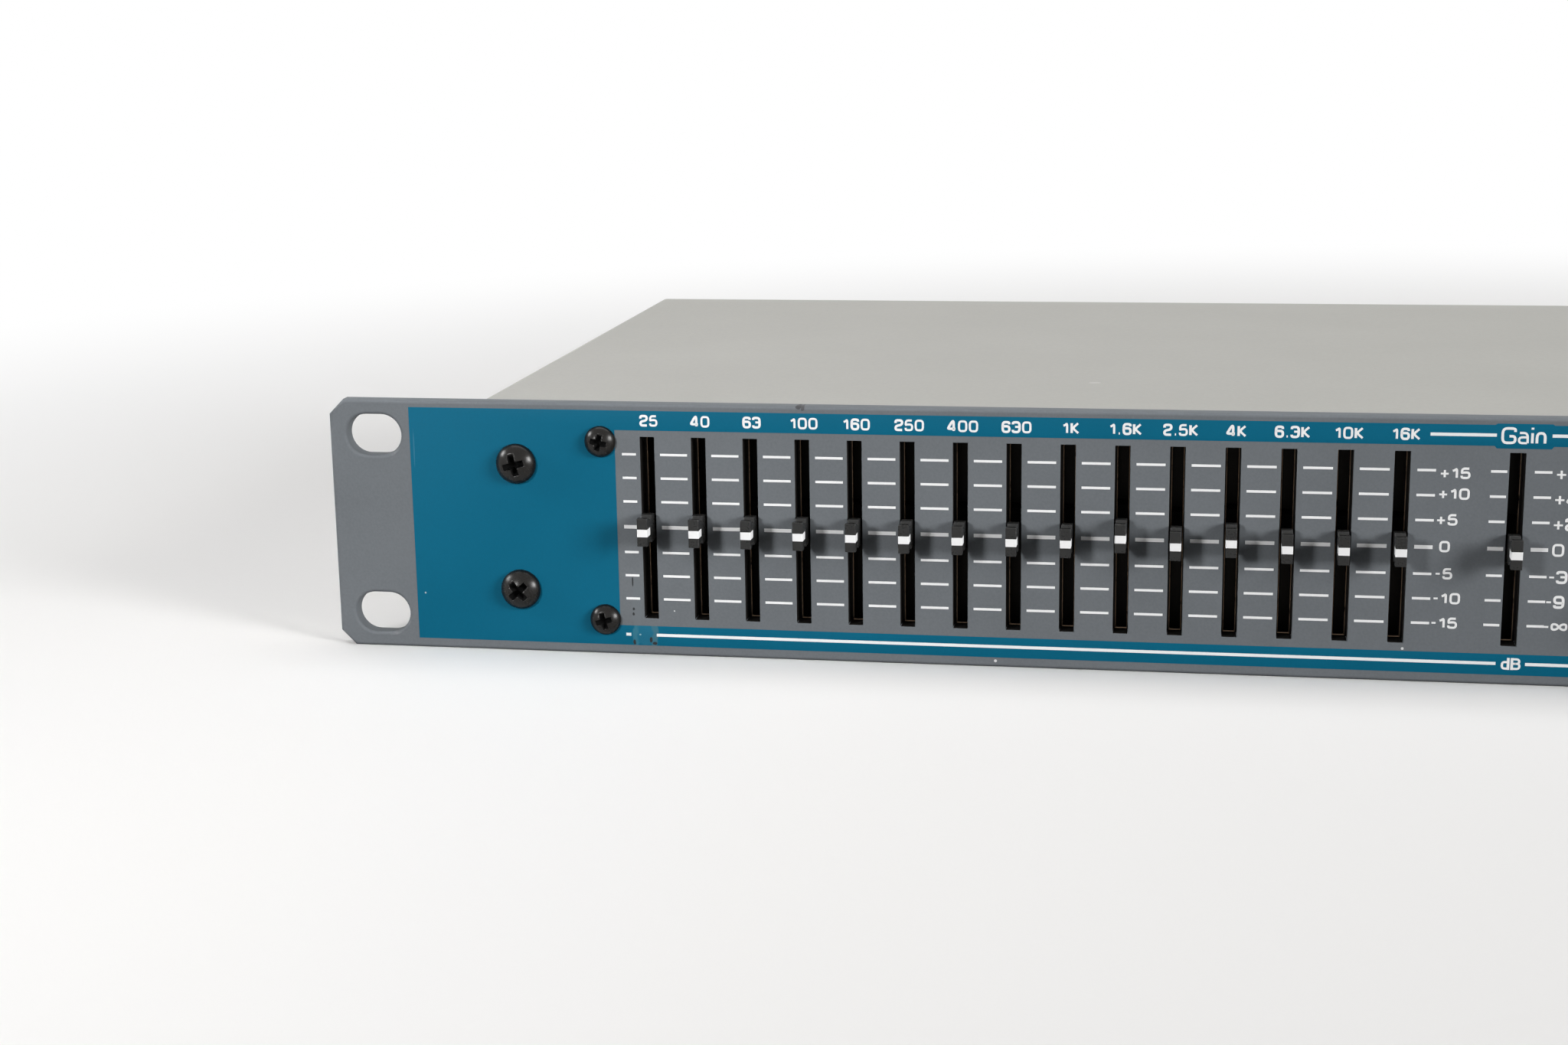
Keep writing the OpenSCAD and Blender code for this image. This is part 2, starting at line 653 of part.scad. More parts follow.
module top_cover() color("silver") difference() {
    plate(panel_back, rear_y - panel_back)
        translate([0, cover_top]) mirror([0, 1]) folded_sheet(case_w, skirt_h);
    translate([0, panel_back, cover_top]) edge_rounding(case_w, cover_edge_r);
    cover_screw_places() translate([0, 0, -over]) cylinder(d = hole_d(large_screw), h = sheet_t + 2 * over);
}

module panel_screws() color("black") for (s = [-1, 1], z = panel_screw_zs)
    translate([s * panel_screw_x, 0, z]) backward()
        pan_screw(large_screw, panel_screw_l, z > mid_z ? first_cross_turn : second_cross_turn);

module cover_screws() color("black") cover_screw_places() pan_screw(large_screw, cover_screw_l);

// One screw from the panel and one from behind the board at each spacer
module slider_board_screws() color("black") for (x = board_screw_xs, z = board_screw_zs) {
    translate([x, 0, z]) backward()
        pan_screw(small_screw, panel_t + board_screw_bite, z > mid_z ? second_cross_turn : first_cross_turn);
    translate([x, board_y + board_t, z]) forward() pan_screw(small_screw, board_t + board_screw_bite);
}

module slider_board() color("darkgreen") plate(board_y, board_t) difference() {
    translate([0, slot_z]) square([2 * slider_board_half, slider_board_h], center = true);
    for (x = board_screw_xs, z = board_screw_zs) translate([x, z]) circle(d = hole_d(small_screw));
    translate([rocker_x - rocker_body_w / 2 - board_notch_gap, mid_z - rocker_body_h / 2 - board_notch_gap])
        square([slider_board_half, rocker_body_h + 2 * board_notch_gap]);
}

// A folded channel, open inside for its carriage and slotted for the lever
module fader_housing() difference() {
    translate([-housing_w / 2, housing_y, -housing_half]) cube([housing_w, housing_d, 2 * housing_half]);
    translate([-housing_w / 2 + housing_wall, housing_y + housing_wall, -housing_half + housing_wall])
        cube([housing_w - 2 * housing_wall, housing_d - housing_wall - housing_base,
            2 * (housing_half - housing_wall)]);
    translate([-lever_t / 2 - lever_side_gap, housing_y - over, -slot_l / 2])
        cube([lever_t + 2 * lever_side_gap, housing_wall + 2 * over, slot_l]);
}

module fader_housings() color("lightgray") for (f = FADERS)
    translate([fader_x(f[0], f[1]), 0, slot_z]) fader_housing();

// Side view of a cap, with y forward of the panel as negative x
module cap_profile() {
    scoop_y = -cap_reach + cap_head_d + cap_scoop_r - (cap_h - cap_tail_h) / 2;
    difference() {
        union() {
            translate([-cap_reach, -cap_h / 2]) square([cap_head_d, cap_h]);
            translate([-cap_reach, -cap_tail_h / 2]) square([cap_reach + cap_tail_in, cap_tail_h]);
        }
        for (s = [-1, 1]) translate([scoop_y, s * (cap_tail_h / 2 - cap_scoop_depth + cap_scoop_r)])
            circle(cap_scoop_r);
    }
}

module fader_cap() {
    pocket_t = lever_t + 2 * cap_press_gap;
    pocket_h = lever_h + 2 * cap_press_gap;
    difference() {
        translate([-cap_w / 2, 0, 0]) rotate([90, 0, 90]) linear_extrude(cap_w) cap_profile();
        translate([-pocket_t / 2, lever_tip_y - cap_press_gap, -pocket_h / 2])
            cube([pocket_t, cap_tail_in - lever_tip_y + over, pocket_h]);
    }
}

module fader_carriage() {
    translate([-carriage_w / 2, carriage_y, -carriage_h / 2]) cube([carriage_w, carriage_d, carriage_h]);
    translate([-lever_t / 2, lever_tip_y, -lever_h / 2])
        cube([lever_t, carriage_y - lever_tip_y + over, lever_h]);
}

module fader(c, i) color("black") translate([fader_x(c, i), 0, fader_z(c, i)]) {
    fader_carriage();
    fader_cap();
}

// Hexagonal spacers behind the panel, and pegged posts under the main board
module board_spacers() color("gainsboro") {
    for (x = board_screw_xs, z = board_screw_zs) translate([x, panel_back, z]) backward() difference() {
        cylinder(d = spacer_af / cos(30), h = spacer_l, $fn = 6);
        translate([0, 0, -over]) cylinder(d = hole_d(small_screw), h = spacer_l + 2 * over);
    }
    for (x = post_xs, y = post_ys) translate([x, y, sheet_t]) {
        cylinder(d = post_d, h = main_board_z - sheet_t);
        cylinder(d = post_peg_d, h = main_board_top + post_proud - sheet_t);
    }
}

module main_board() color("darkgreen") translate([0, 0, main_board_z]) linear_extrude(board_t) difference() {
    translate([main_board_x, main_board_front]) square([main_board_l, main_board_d]);
    for (x = post_xs, y = post_ys) translate([x, y]) circle(d = post_peg_d + 2 * screw_gap);
}

module op_amp_chip() difference() {
    translate([-chip[0] / 2, -chip[1] / 2, 0]) cube(chip);
    translate([-chip[0] / 2, 0, chip[2] / 2]) cylinder(d = chip_notch_d, h = chip[2]);
}

module op_amp_chips() color("black")
    for (c = CHANNELS, r = [0 : chip_rows - 1], k = [0 : chips_in_row / 2 - 1])
    translate([socket_x(c, 0) + k * chip_pitch, chip_row_front + r * chip_row_pitch, main_board_top])
        op_amp_chip();

module voltage_regulators() color("dimgray") for (k = [0, 1])
    translate([power_corner_x - k * regulator_pitch, main_board_front + regulator_set_back, main_board_top]) {
        translate([-regulator_body[0] / 2, 0, 0]) cube(regulator_body);
        difference() {
            translate([-regulator_body[0] / 2, 0, 0])
                cube([regulator_body[0], regulator_tab_t, regulator_tab_h]);
            translate([0, -over, regulator_tab_h - regulator_hole_drop])
                backward() cylinder(d = regulator_hole_d, h = regulator_tab_t + 2 * over);
        }
    }

// Rolled cans with a groove above the base
module filter_capacitors() color("midnightblue") for (i = [0, 1], j = [0, 1])
    translate([power_corner_x - i * capacitor_pitch,
        main_board_front + capacitor_set_back + j * capacitor_pitch, main_board_top])
        rotate_extrude() difference() {
            square([capacitor_d / 2, capacitor_h]);
            translate([capacitor_d / 2 + capacitor_groove_r - capacitor_groove_depth, capacitor_groove_h])
                circle(capacitor_groove_r);
        }

module transformer_core() plate(-core_d / 2, core_d) difference() {
    square([core_w, core_h], center = true);
    for (s = [-1, 1]) translate([s * (core_centre_w + core_window_w) / 2, 0])
        square([core_window_w, core_window_h], center = true);
}

module transformer_winding() {
    reach = winding_reach;
    wind_w = core_centre_w + 2 * (core_window_w - winding_gap);
    translate([0, 0, -core_window_h / 2 + winding_gap])
    linear_extrude(core_window_h - 2 * winding_gap) difference() {
        rounded_rect(wind_w, core_d + 2 * reach, core_window_w / 2);
        square([core_centre_w + 2 * winding_gap, core_d + 2 * winding_gap], center = true);
    }
}

module mains_transformer() translate([transformer_x, transformer_y, transformer_z]) {
    color("darkslategray") transformer_core();
    color("goldenrod") transformer_winding();
}

// From a header on the slider board over to a header on the main board
module ribbon_cable() {
    rise_z = main_board_top + 2 * ribbon_header;
    far_y = main_board_front + ribbon_header;
    rotate([90, 0, 90]) linear_extrude(ribbon_w, center = true) {
        translate([board_y + board_t, rise_z - ribbon_header])
            square([ribbon_header, ribbon_header + ribbon_t]);
        translate([board_y + board_t, rise_z]) square([far_y + ribbon_header - board_y - board_t, ribbon_t]);
        translate([far_y, main_board_top]) square([ribbon_header, rise_z + ribbon_t - main_board_top]);
    }
}

module ribbon_cables() color("lightsteelblue") for (c = CHANNELS)
    translate([socket_x(c, 1), 0, 0]) ribbon_cable();

// A round lead swept along its points, with a ring square to the route at each one
module lead(points) {
    last = len(points) - 1;
    rim = [0 : lead_sides - 1];
    polyhedron(
        points = [for (k = [0 : last]) each lead_ring(points, k)],
        faces = concat(
            [[for (s = rim) lead_sides - 1 - s], [for (s = rim) last * lead_sides + s]],
            [for (k = [0 : last - 1], s = rim) let (a = k * lead_sides, n = (s + 1) % lead_sides)
                each [[a + s, a + n, a + lead_sides + n], [a + s, a + lead_sides + n, a + lead_sides + s]]]));
}

module power_leads() color("saddlebrown") {
    switch_back = rocker_body_d + lead_d;
    side_x = tray_w / 2 - sheet_t - 4 * lead_d;
    wind_front = transformer_y - core_d / 2 - winding_reach;
    wind_back = transformer_y + core_d / 2 + winding_reach;
    inlet_side = 6;
    winding_side = 5;
    rocker_side = 2;
    stub = 8;
    switch_stub = 6;
    board_front = wind_front - stub;
    lead([[inlet_x + inlet_side, inlet_body_back, mid_z],
        [inlet_x + inlet_side, inlet_body_back - stub, mid_z],
        [side_x, inlet_body_back - 2 * stub, mid_z], [side_x, switch_back + 2 * stub, mid_z],
        [rocker_x + rocker_side, switch_back + switch_stub, mid_z],
        [rocker_x + rocker_side, rocker_body_d, mid_z]]);
    lead([[rocker_x - rocker_side, rocker_body_d, mid_z],
        [rocker_x - rocker_side, switch_back + switch_stub, mid_z],
        [transformer_x + winding_side, wind_front - stub, mid_z],
        [transformer_x + winding_side, wind_front, mid_z]]);
    lead([[inlet_x - inlet_side, inlet_body_back, mid_z],
        [inlet_x - inlet_side, inlet_body_back - stub, mid_z],
        [transformer_x + winding_side, wind_back + stub, mid_z],
        [transformer_x + winding_side, wind_back, mid_z]]);
    lead([[transformer_x - winding_side, wind_front, mid_z],
        [transformer_x - winding_side, board_front, mid_z],
        [power_corner_x + stub, board_front, mid_z],
        [power_corner_x, board_front, main_board_top + lead_d / 2]]);
}

module push_switch_body() difference() {
    plate(push_body_y, board_y - push_body_y) square(push_body_w, center = true);
    plate(push_body_y - over, board_y - push_body_y + 2 * over)
        square(plunger_w + 2 * button_gap, center = true);
}

module rocker_frame() difference() {
    union() {
        plate(-rocker_rim_proud, rocker_rim_proud) rounded_rect(rocker_body_w + 2 * rocker_rim_w,
            rocker_body_h + 2 * rocker_rim_w, rocker_rim_w);
        plate(0, rocker_body_d) square([rocker_body_w, rocker_body_h], center = true);
    }
    plate(-rocker_rim_proud - over, rocker_rim_proud + over + rocker_body_d - rocker_floor)
        square([rocker_open_w, rocker_open_h], center = true);
    translate([-rocker_body_w / 2 - over, rocker_axle_y, 0]) rotate([0, 90, 0])
        cylinder(d = rocker_axle_d + 2 * screw_gap, h = rocker_body_w + 2 * over);
}

module switch_bodies() color("black") {
    for (c = CHANNELS) translate([bypass_x(c), 0, bypass_z]) push_switch_body();
    translate([rocker_x, 0, mid_z]) rocker_frame();
}

// Side view of the rocker in its middle position, about its axle:
// a round-ended block with a shallow V across its face
module rocker_profile() {
    middle = rocker_axle_y + rocker_proud;
    rise = rocker_r * tan(rocker_swing / 2);
    intersection() {
        circle(rocker_r);
        polygon([[-middle, 0], [-middle - rise, rocker_r], [rocker_r / 2, rocker_r],
            [rocker_r / 2, -rocker_r], [-middle - rise, -rocker_r]]);
    }
}

// Stored with its lower half pressed in
module power_rocker() color("black") translate([rocker_x, rocker_axle_y, mid_z])
    rotate([rocker_swing / 2, 0, 0]) {
        translate([-rocker_w / 2, 0, 0]) rotate([90, 0, 90]) linear_extrude(rocker_w) rocker_profile();
        translate([-rocker_open_w / 2 - rocker_axle_bite, 0, 0]) rotate([0, 90, 0])
            cylinder(d = rocker_axle_d, h = rocker_open_w + 2 * rocker_axle_bite);
    }

module bypass_button(c) color("black") translate([bypass_x(c), 0, bypass_z]) {
    plate(-button_reach, button_reach + button_back) square(button_w, center = true);
    plate(button_back, board_y - button_travel - button_gap - button_back) square(plunger_w, center = true);
}

// Domed lens and the collar that stands it off the board
module indicator_lamps() color("darkred") for (p = lamp_places) translate([p[0], 0, p[1]]) {
    backward() cylinder(d = lamp_d, h = board_y);
    translate([0, panel_back + lamp_gap, 0]) backward()
        cylinder(d = lamp_d + 2 * lamp_collar, h = board_y - panel_back - lamp_gap);
    intersection() {
        sphere(d = lamp_d);
        translate([-lamp_d / 2, -lamp_reach, -lamp_d / 2]) cube([lamp_d, 2 * lamp_reach, lamp_d]);
    }
}

module mains_inlet() color("black") translate([inlet_x, 0, socket_z]) difference() {
    union() {
        plate(rear_y, inlet_flange_t) difference() {
            rounded_rect(inlet_flange_w, inlet_flange_h, inlet_corner_r);
            for (s = [-1, 1]) translate([s * inlet_screw_pitch / 2, 0]) circle(d = hole_d(small_screw));
        }
        plate(inlet_body_back, rear_y + inlet_flange_t - inlet_body_back)
            square([inlet_body_w, inlet_body_h], center = true);
    }
    plate(rear_y + inlet_flange_t - inlet_cavity_depth, inlet_cavity_depth + over)
        square([inlet_cavity_w, inlet_cavity_h], center = true);
}

// Flange and barrel that both kinds of three-pin socket share
module xlr_blank() {
    plate(rear_y, xlr_flange_t) difference() {
        rounded_rect(xlr_flange_w, xlr_flange_h, xlr_corner_r);
        for (s = xlr_screw_signs) translate([s[0] * xlr_screw_x / 2, s[1] * xlr_screw_z / 2])
            circle(d = hole_d(small_screw));
    }
    translate([0, rear_y - xlr_body_depth, 0]) backward() cylinder(d = xlr_body_d, h = xlr_body_depth);
}

// Cylinder cut into a socket from its flange's outer face
module socket_bore(d, depth, proud) translate([0, rear_y + proud + over, 0])
    forward() cylinder(d = d, h = depth + over);

module pin_places() for (a = pin_angles) translate([xlr_pin_r * cos(a), 0, xlr_pin_r * sin(a)]) children();

module xlr_shell() difference() {
    xlr_blank();
    socket_bore(xlr_mouth_d, xlr_mouth_depth, xlr_flange_t);
}

// Contact block that stands in an input socket's mouth
module contact_block() plate(rear_y + xlr_flange_t - xlr_mouth_depth + insert_seat_gap,
    xlr_mouth_depth - insert_seat_gap) difference() {
        circle(d = xlr_insert_d);
        for (a = pin_angles) rotate(a) translate([xlr_pin_r, 0]) circle(d = xlr_pin_d + 2 * contact_gap);
    }

module input_sockets() color("black") for (x = input_xs) translate([x, 0, socket_z]) {
    xlr_shell();
    contact_block();
}

module output_sockets() color("black") for (x = output_xs) translate([x, 0, socket_z]) xlr_shell();

// Pins of the output sockets and blades of the mains inlet
module contact_pins() color("silver") {
    pin_root = rear_y + xlr_flange_t - xlr_mouth_depth;
    for (x = output_xs) translate([x, pin_root, socket_z]) pin_places()
        backward() cylinder(d = xlr_pin_d, h = xlr_mouth_depth - xlr_pin_recess);
    inlet_root = rear_y + inlet_flange_t - inlet_cavity_depth;
    for (p = inlet_pin_places) translate([inlet_x + p[0], 0, socket_z + p[1]])
        plate(inlet_root, inlet_cavity_depth - inlet_pin_recess) square(inlet_pin, center = true);
}

module jack_sockets() color("dimgray") for (x = jack_xs) translate([x, 0, socket_z]) difference() {
    union() {
        plate(rear_y - jack_body_depth, jack_body_depth - sheet_t) square(jack_body_w, center = true);
        translate([0, rear_y - sheet_t, 0]) backward() cylinder(d = jack_neck_d, h = sheet_t + jack_reach);
    }
    socket_bore(jack_bore_d, jack_bore_depth, jack_reach);
    translate([0, rear_y + jack_reach - jack_bore_depth, 0])
        forward() cylinder(d1 = jack_bore_d, d2 = 0, h = jack_bore_tip);
}

module jack_nuts() color("silver") for (x = jack_xs)
    translate([x, rear_y, socket_z]) backward() difference() {
    cylinder(d = jack_nut_af / cos(30), h = jack_nut_t, $fn = 6);
    translate([0, 0, -over]) cylinder(d = jack_neck_d + 2 * screw_gap, h = jack_nut_t + 2 * over);
}

module socket_screws() color("black") {
    for (x = concat(input_xs, output_xs), s = xlr_screw_signs)
        translate([x + s[0] * xlr_screw_x / 2, rear_y + xlr_flange_t, socket_z + s[1] * xlr_screw_z / 2])
            forward() pan_screw(small_screw, xlr_flange_t + sheet_t + socket_screw_bite);
    for (s = [-1, 1]) translate([inlet_x + s * inlet_screw_pitch / 2, rear_y + inlet_flange_t, socket_z])
        forward() pan_screw(small_screw, inlet_flange_t + sheet_t + socket_screw_bite);
}

placed() front_panel();
placed() chassis_tray();
placed() top_cover();
placed() panel_screws();
placed() cover_screws();
placed() slider_board_screws();
placed() slider_board();
placed() fader_housings();
placed() board_spacers();
placed() main_board();
placed() op_amp_chips();
placed() voltage_regulators();
placed() filter_capacitors();
placed() mains_transformer();
placed() ribbon_cables();
placed() power_leads();
placed() switch_bodies();
placed() indicator_lamps();
placed() mains_inlet();
placed() input_sockets();
placed() output_sockets();
placed() contact_pins();
placed() jack_sockets();
placed() jack_nuts();
placed() socket_screws();
placed() power_rocker();
for (c = CHANNELS) placed() bypass_button(c);
for (f = FADERS) placed() fader(f[0], f[1]);
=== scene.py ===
"""Looks of a one-unit rack graphic equalizer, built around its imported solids.

Lengths are written in millimetres and turned into metres by MM, except where a comment says metres. On
the front panel, X is measured from the panel's left end and Z from its mid-height, as a maker's drawing
of the panel would give them.
"""
import json
import math

import bmesh
import bpy
from mathutils import Euler, Matrix, Vector

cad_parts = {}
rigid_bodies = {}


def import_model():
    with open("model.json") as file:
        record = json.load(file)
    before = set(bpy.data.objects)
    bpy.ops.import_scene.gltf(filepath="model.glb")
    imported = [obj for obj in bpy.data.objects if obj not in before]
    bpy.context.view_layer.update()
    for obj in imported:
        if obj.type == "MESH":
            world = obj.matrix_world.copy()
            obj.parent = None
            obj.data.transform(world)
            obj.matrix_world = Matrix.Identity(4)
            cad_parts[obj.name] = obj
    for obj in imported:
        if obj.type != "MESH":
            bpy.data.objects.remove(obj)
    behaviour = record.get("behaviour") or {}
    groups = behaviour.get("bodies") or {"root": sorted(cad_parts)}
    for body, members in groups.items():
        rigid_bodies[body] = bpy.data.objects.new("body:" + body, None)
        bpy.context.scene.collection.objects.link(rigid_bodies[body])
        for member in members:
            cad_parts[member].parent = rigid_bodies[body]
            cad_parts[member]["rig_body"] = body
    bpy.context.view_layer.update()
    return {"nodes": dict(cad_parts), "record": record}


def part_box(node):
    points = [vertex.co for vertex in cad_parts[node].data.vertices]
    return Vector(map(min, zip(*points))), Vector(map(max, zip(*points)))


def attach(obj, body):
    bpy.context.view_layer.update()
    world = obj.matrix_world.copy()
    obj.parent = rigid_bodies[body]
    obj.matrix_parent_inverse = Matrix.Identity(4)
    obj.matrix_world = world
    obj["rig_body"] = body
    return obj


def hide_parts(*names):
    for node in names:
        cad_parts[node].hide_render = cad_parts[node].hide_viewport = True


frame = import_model()
NODES = frame["nodes"]
SLOT_OF = {row["node"]: row["material_slot"] for row in frame["record"]["subparts"]}
MM = 0.001

# Faders of each channel, as their solids name the bands
BANDS = ["25", "40", "63", "100", "160", "250", "400", "630",
         "1k", "1k6", "2k5", "4k", "6k3", "10k", "16k"]
FADERS = BANDS + ["gain"]
CHANNELS = (1, 2)


def fader_node(channel, band):
    return f"ch{channel}_gain_fader" if band == "gain" else f"ch{channel}_fader_{band}"


# Places taken from the frame
PANEL_LOW, PANEL_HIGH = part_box("front_panel")
PANEL_LEFT = PANEL_LOW.x
PANEL_FRONT = PANEL_LOW.y
PANEL_MID = (PANEL_LOW.z + PANEL_HIGH.z) / 2
PANEL_W = (PANEL_HIGH.x - PANEL_LOW.x) / MM
COVER_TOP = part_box("top_cover")[1].z
CAP_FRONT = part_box(fader_node(1, "25"))[0].y


def from_left(x):
    """A place across the frame, as millimetres from the panel's left end."""
    return (x - PANEL_LEFT) / MM


def on_panel(x, z):
    """A point on the panel's front face, from the panel's left end and mid-height."""
    return (PANEL_LEFT + x * MM, PANEL_FRONT, PANEL_MID + z * MM)


def middle(node):
    """Middle of a node's box at rest."""
    low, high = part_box(node)
    return (low + high) / 2


FADER_X = {(c, b): from_left(middle(fader_node(c, b)).x) for c in CHANNELS for b in FADERS}
CHANNEL_STEP = FADER_X[2, "25"] - FADER_X[1, "25"]


def clear_default_scene():
    for name in ("Cube", "Light", "Camera"):
        if name in bpy.data.objects:
            bpy.data.objects.remove(bpy.data.objects[name])


# Shader node groups that several materials share

# The fine grain's share in a paint's tone, and how sharply worn and highlighted edges and patches end and
# how far patches reach
FINE_SHARE = 0.45
EDGE_MARK_STEEPNESS = 6.0
PATCH_REACH = 0.55
PATCH_STEEPNESS = 4.0


def new_group(name, inputs, outputs):
    """An empty shader group with named sockets; returns the group and its two end nodes."""
    group = bpy.data.node_groups.new(name, "ShaderNodeTree")
    for socket, kind, value in inputs:
        made = group.interface.new_socket(name=socket, in_out="INPUT", socket_type=f"NodeSocket{kind}")
        if value is not None:
            made.default_value = value
    for socket, kind in outputs:
        group.interface.new_socket(name=socket, in_out="OUTPUT", socket_type=f"NodeSocket{kind}")
    return group, group.nodes.new("NodeGroupInput"), group.nodes.new("NodeGroupOutput")


def feed(tree, socket, value):
    """Links an output to a socket, or gives the socket a fixed value."""
    if isinstance(value, bpy.types.NodeSocket):
        tree.links.new(value, socket)
    else:
        socket.default_value = value


def add(tree, kind, settings=None, **inputs):
    """A node in a tree; inputs go by name, with _ for a space, or by number, such as _0."""
    node = tree.nodes.new(kind)
    for key, value in (settings or {}).items():
        setattr(node, key, value)
    for key, value in inputs.items():
        socket = int(key[1:]) if key[0] == "_" else key.replace("_", " ")
        feed(tree, node.inputs[socket], value)
    return node


def math_node(tree, operation, a, b=0.0, clamp=False):
    settings = {"operation": operation, "use_clamp": clamp}
    return add(tree, "ShaderNodeMath", settings, _0=a, _1=b).outputs[0]


def make_paint_grain():
    """Fine sprayed-paint texture: a tone that drifts over the surface and a fine height."""
    group, start, end = new_group(
        "paint_grain",
        [("Coordinates", "Vector", None), ("Grain", "Float", 2600.0), ("Cloud", "Float", 60.0)],
        [("Tone", "Float"), ("Height", "Float")])
    fine = add(group, "ShaderNodeTexNoise", Vector=start.outputs["Coordinates"],
               Scale=start.outputs["Grain"], Detail=2.0)
    cloud = add(group, "ShaderNodeTexNoise", Vector=start.outputs["Coordinates"],
                Scale=start.outputs["Cloud"], Detail=4.0)
    tone = math_node(group, "ADD", math_node(group, "MULTIPLY", fine.outputs["Fac"], FINE_SHARE),
                     math_node(group, "MULTIPLY", cloud.outputs["Fac"], 1.0 - FINE_SHARE))
    group.links.new(tone, end.inputs["Tone"])
    group.links.new(fine.outputs["Fac"], end.inputs["Height"])
    return group


def make_edge_wear_and_highlight():
    """Paler rounded edges, partly rubbed wear and partly a painted highlight: the edge mark of a piece,
    broken up by noise.
    """
    group, start, end = new_group(
        "edge_rub",
        [("Coordinates", "Vector", None), ("Edge", "Float", 0.0), ("Amount", "Float", 0.5),
         ("Patches", "Float", 180.0)],
        [("Mask", "Float")])
    noise = add(group, "ShaderNodeTexNoise", Vector=start.outputs["Coordinates"],
                Scale=start.outputs["Patches"], Detail=5.0, Roughness=0.65)
    level = math_node(group, "SUBTRACT", noise.outputs["Fac"],
                      math_node(group, "SUBTRACT", 1.0, start.outputs["Amount"]))
    steep = math_node(group, "MULTIPLY", level, EDGE_MARK_STEEPNESS, clamp=True)
    group.links.new(math_node(group, "MULTIPLY", steep, start.outputs["Edge"]), end.inputs["Mask"])
    return group


def make_specks():
    """Small sparse spots, for dust and paint flecks."""
    group, start, end = new_group(
        "specks",
        [("Coordinates", "Vector", None), ("Spacing", "Float", 90.0), ("Size", "Float", 0.05),
         ("Share", "Float", 0.3)],
        [("Mask", "Float")])
    cells = add(group, "ShaderNodeTexVoronoi", {"feature": "F1"}, Vector=start.outputs["Coordinates"],
                Scale=start.outputs["Spacing"])
    pick = add(group, "ShaderNodeSeparateColor", Color=cells.outputs["Color"])
    near = math_node(group, "LESS_THAN", cells.outputs["Distance"], start.outputs["Size"])
    kept = math_node(group, "LESS_THAN", pick.outputs[0], start.outputs["Share"])
    group.links.new(math_node(group, "MULTIPLY", near, kept), end.inputs["Mask"])
    return group


def make_patch():
    """A soft-edged oval patch about a point, broken up by noise."""
    group, start, end = new_group(
        "patch",
        [("Coordinates", "Vector", None), ("Centre", "Vector", None), ("Size", "Vector", None),
         ("Break", "Float", 500.0)],
        [("Mask", "Float")])
    offset = add(group, "ShaderNodeVectorMath", {"operation": "SUBTRACT"},
                 _0=start.outputs["Coordinates"], _1=start.outputs["Centre"])
    share = add(group, "ShaderNodeVectorMath", {"operation": "DIVIDE"},
                _0=offset.outputs[0], _1=start.outputs["Size"])
    length = add(group, "ShaderNodeVectorMath", {"operation": "LENGTH"}, _0=share.outputs[0])
    noise = add(group, "ShaderNodeTexNoise", Vector=start.outputs["Coordinates"],
                Scale=start.outputs["Break"], Detail=3.0)
    reach = math_node(group, "ADD", noise.outputs["Fac"], PATCH_REACH)
    level = math_node(group, "SUBTRACT", reach, length.outputs["Value"])
    group.links.new(math_node(group, "MULTIPLY", level, PATCH_STEEPNESS, clamp=True), end.inputs["Mask"])
    return group


PAINT_GRAIN = make_paint_grain()
EDGE_WEAR_AND_HIGHLIGHT = make_edge_wear_and_highlight()
SPECKS = make_specks()
PATCH = make_patch()


# Materials

# Tones of the grain lie close to a half, so they are stretched to run from 0 to 1
TONE_STRETCH = 2.4
TONE_SHIFT = -0.7
TONE_LOW = 0.3
TONE_HIGH = 0.7


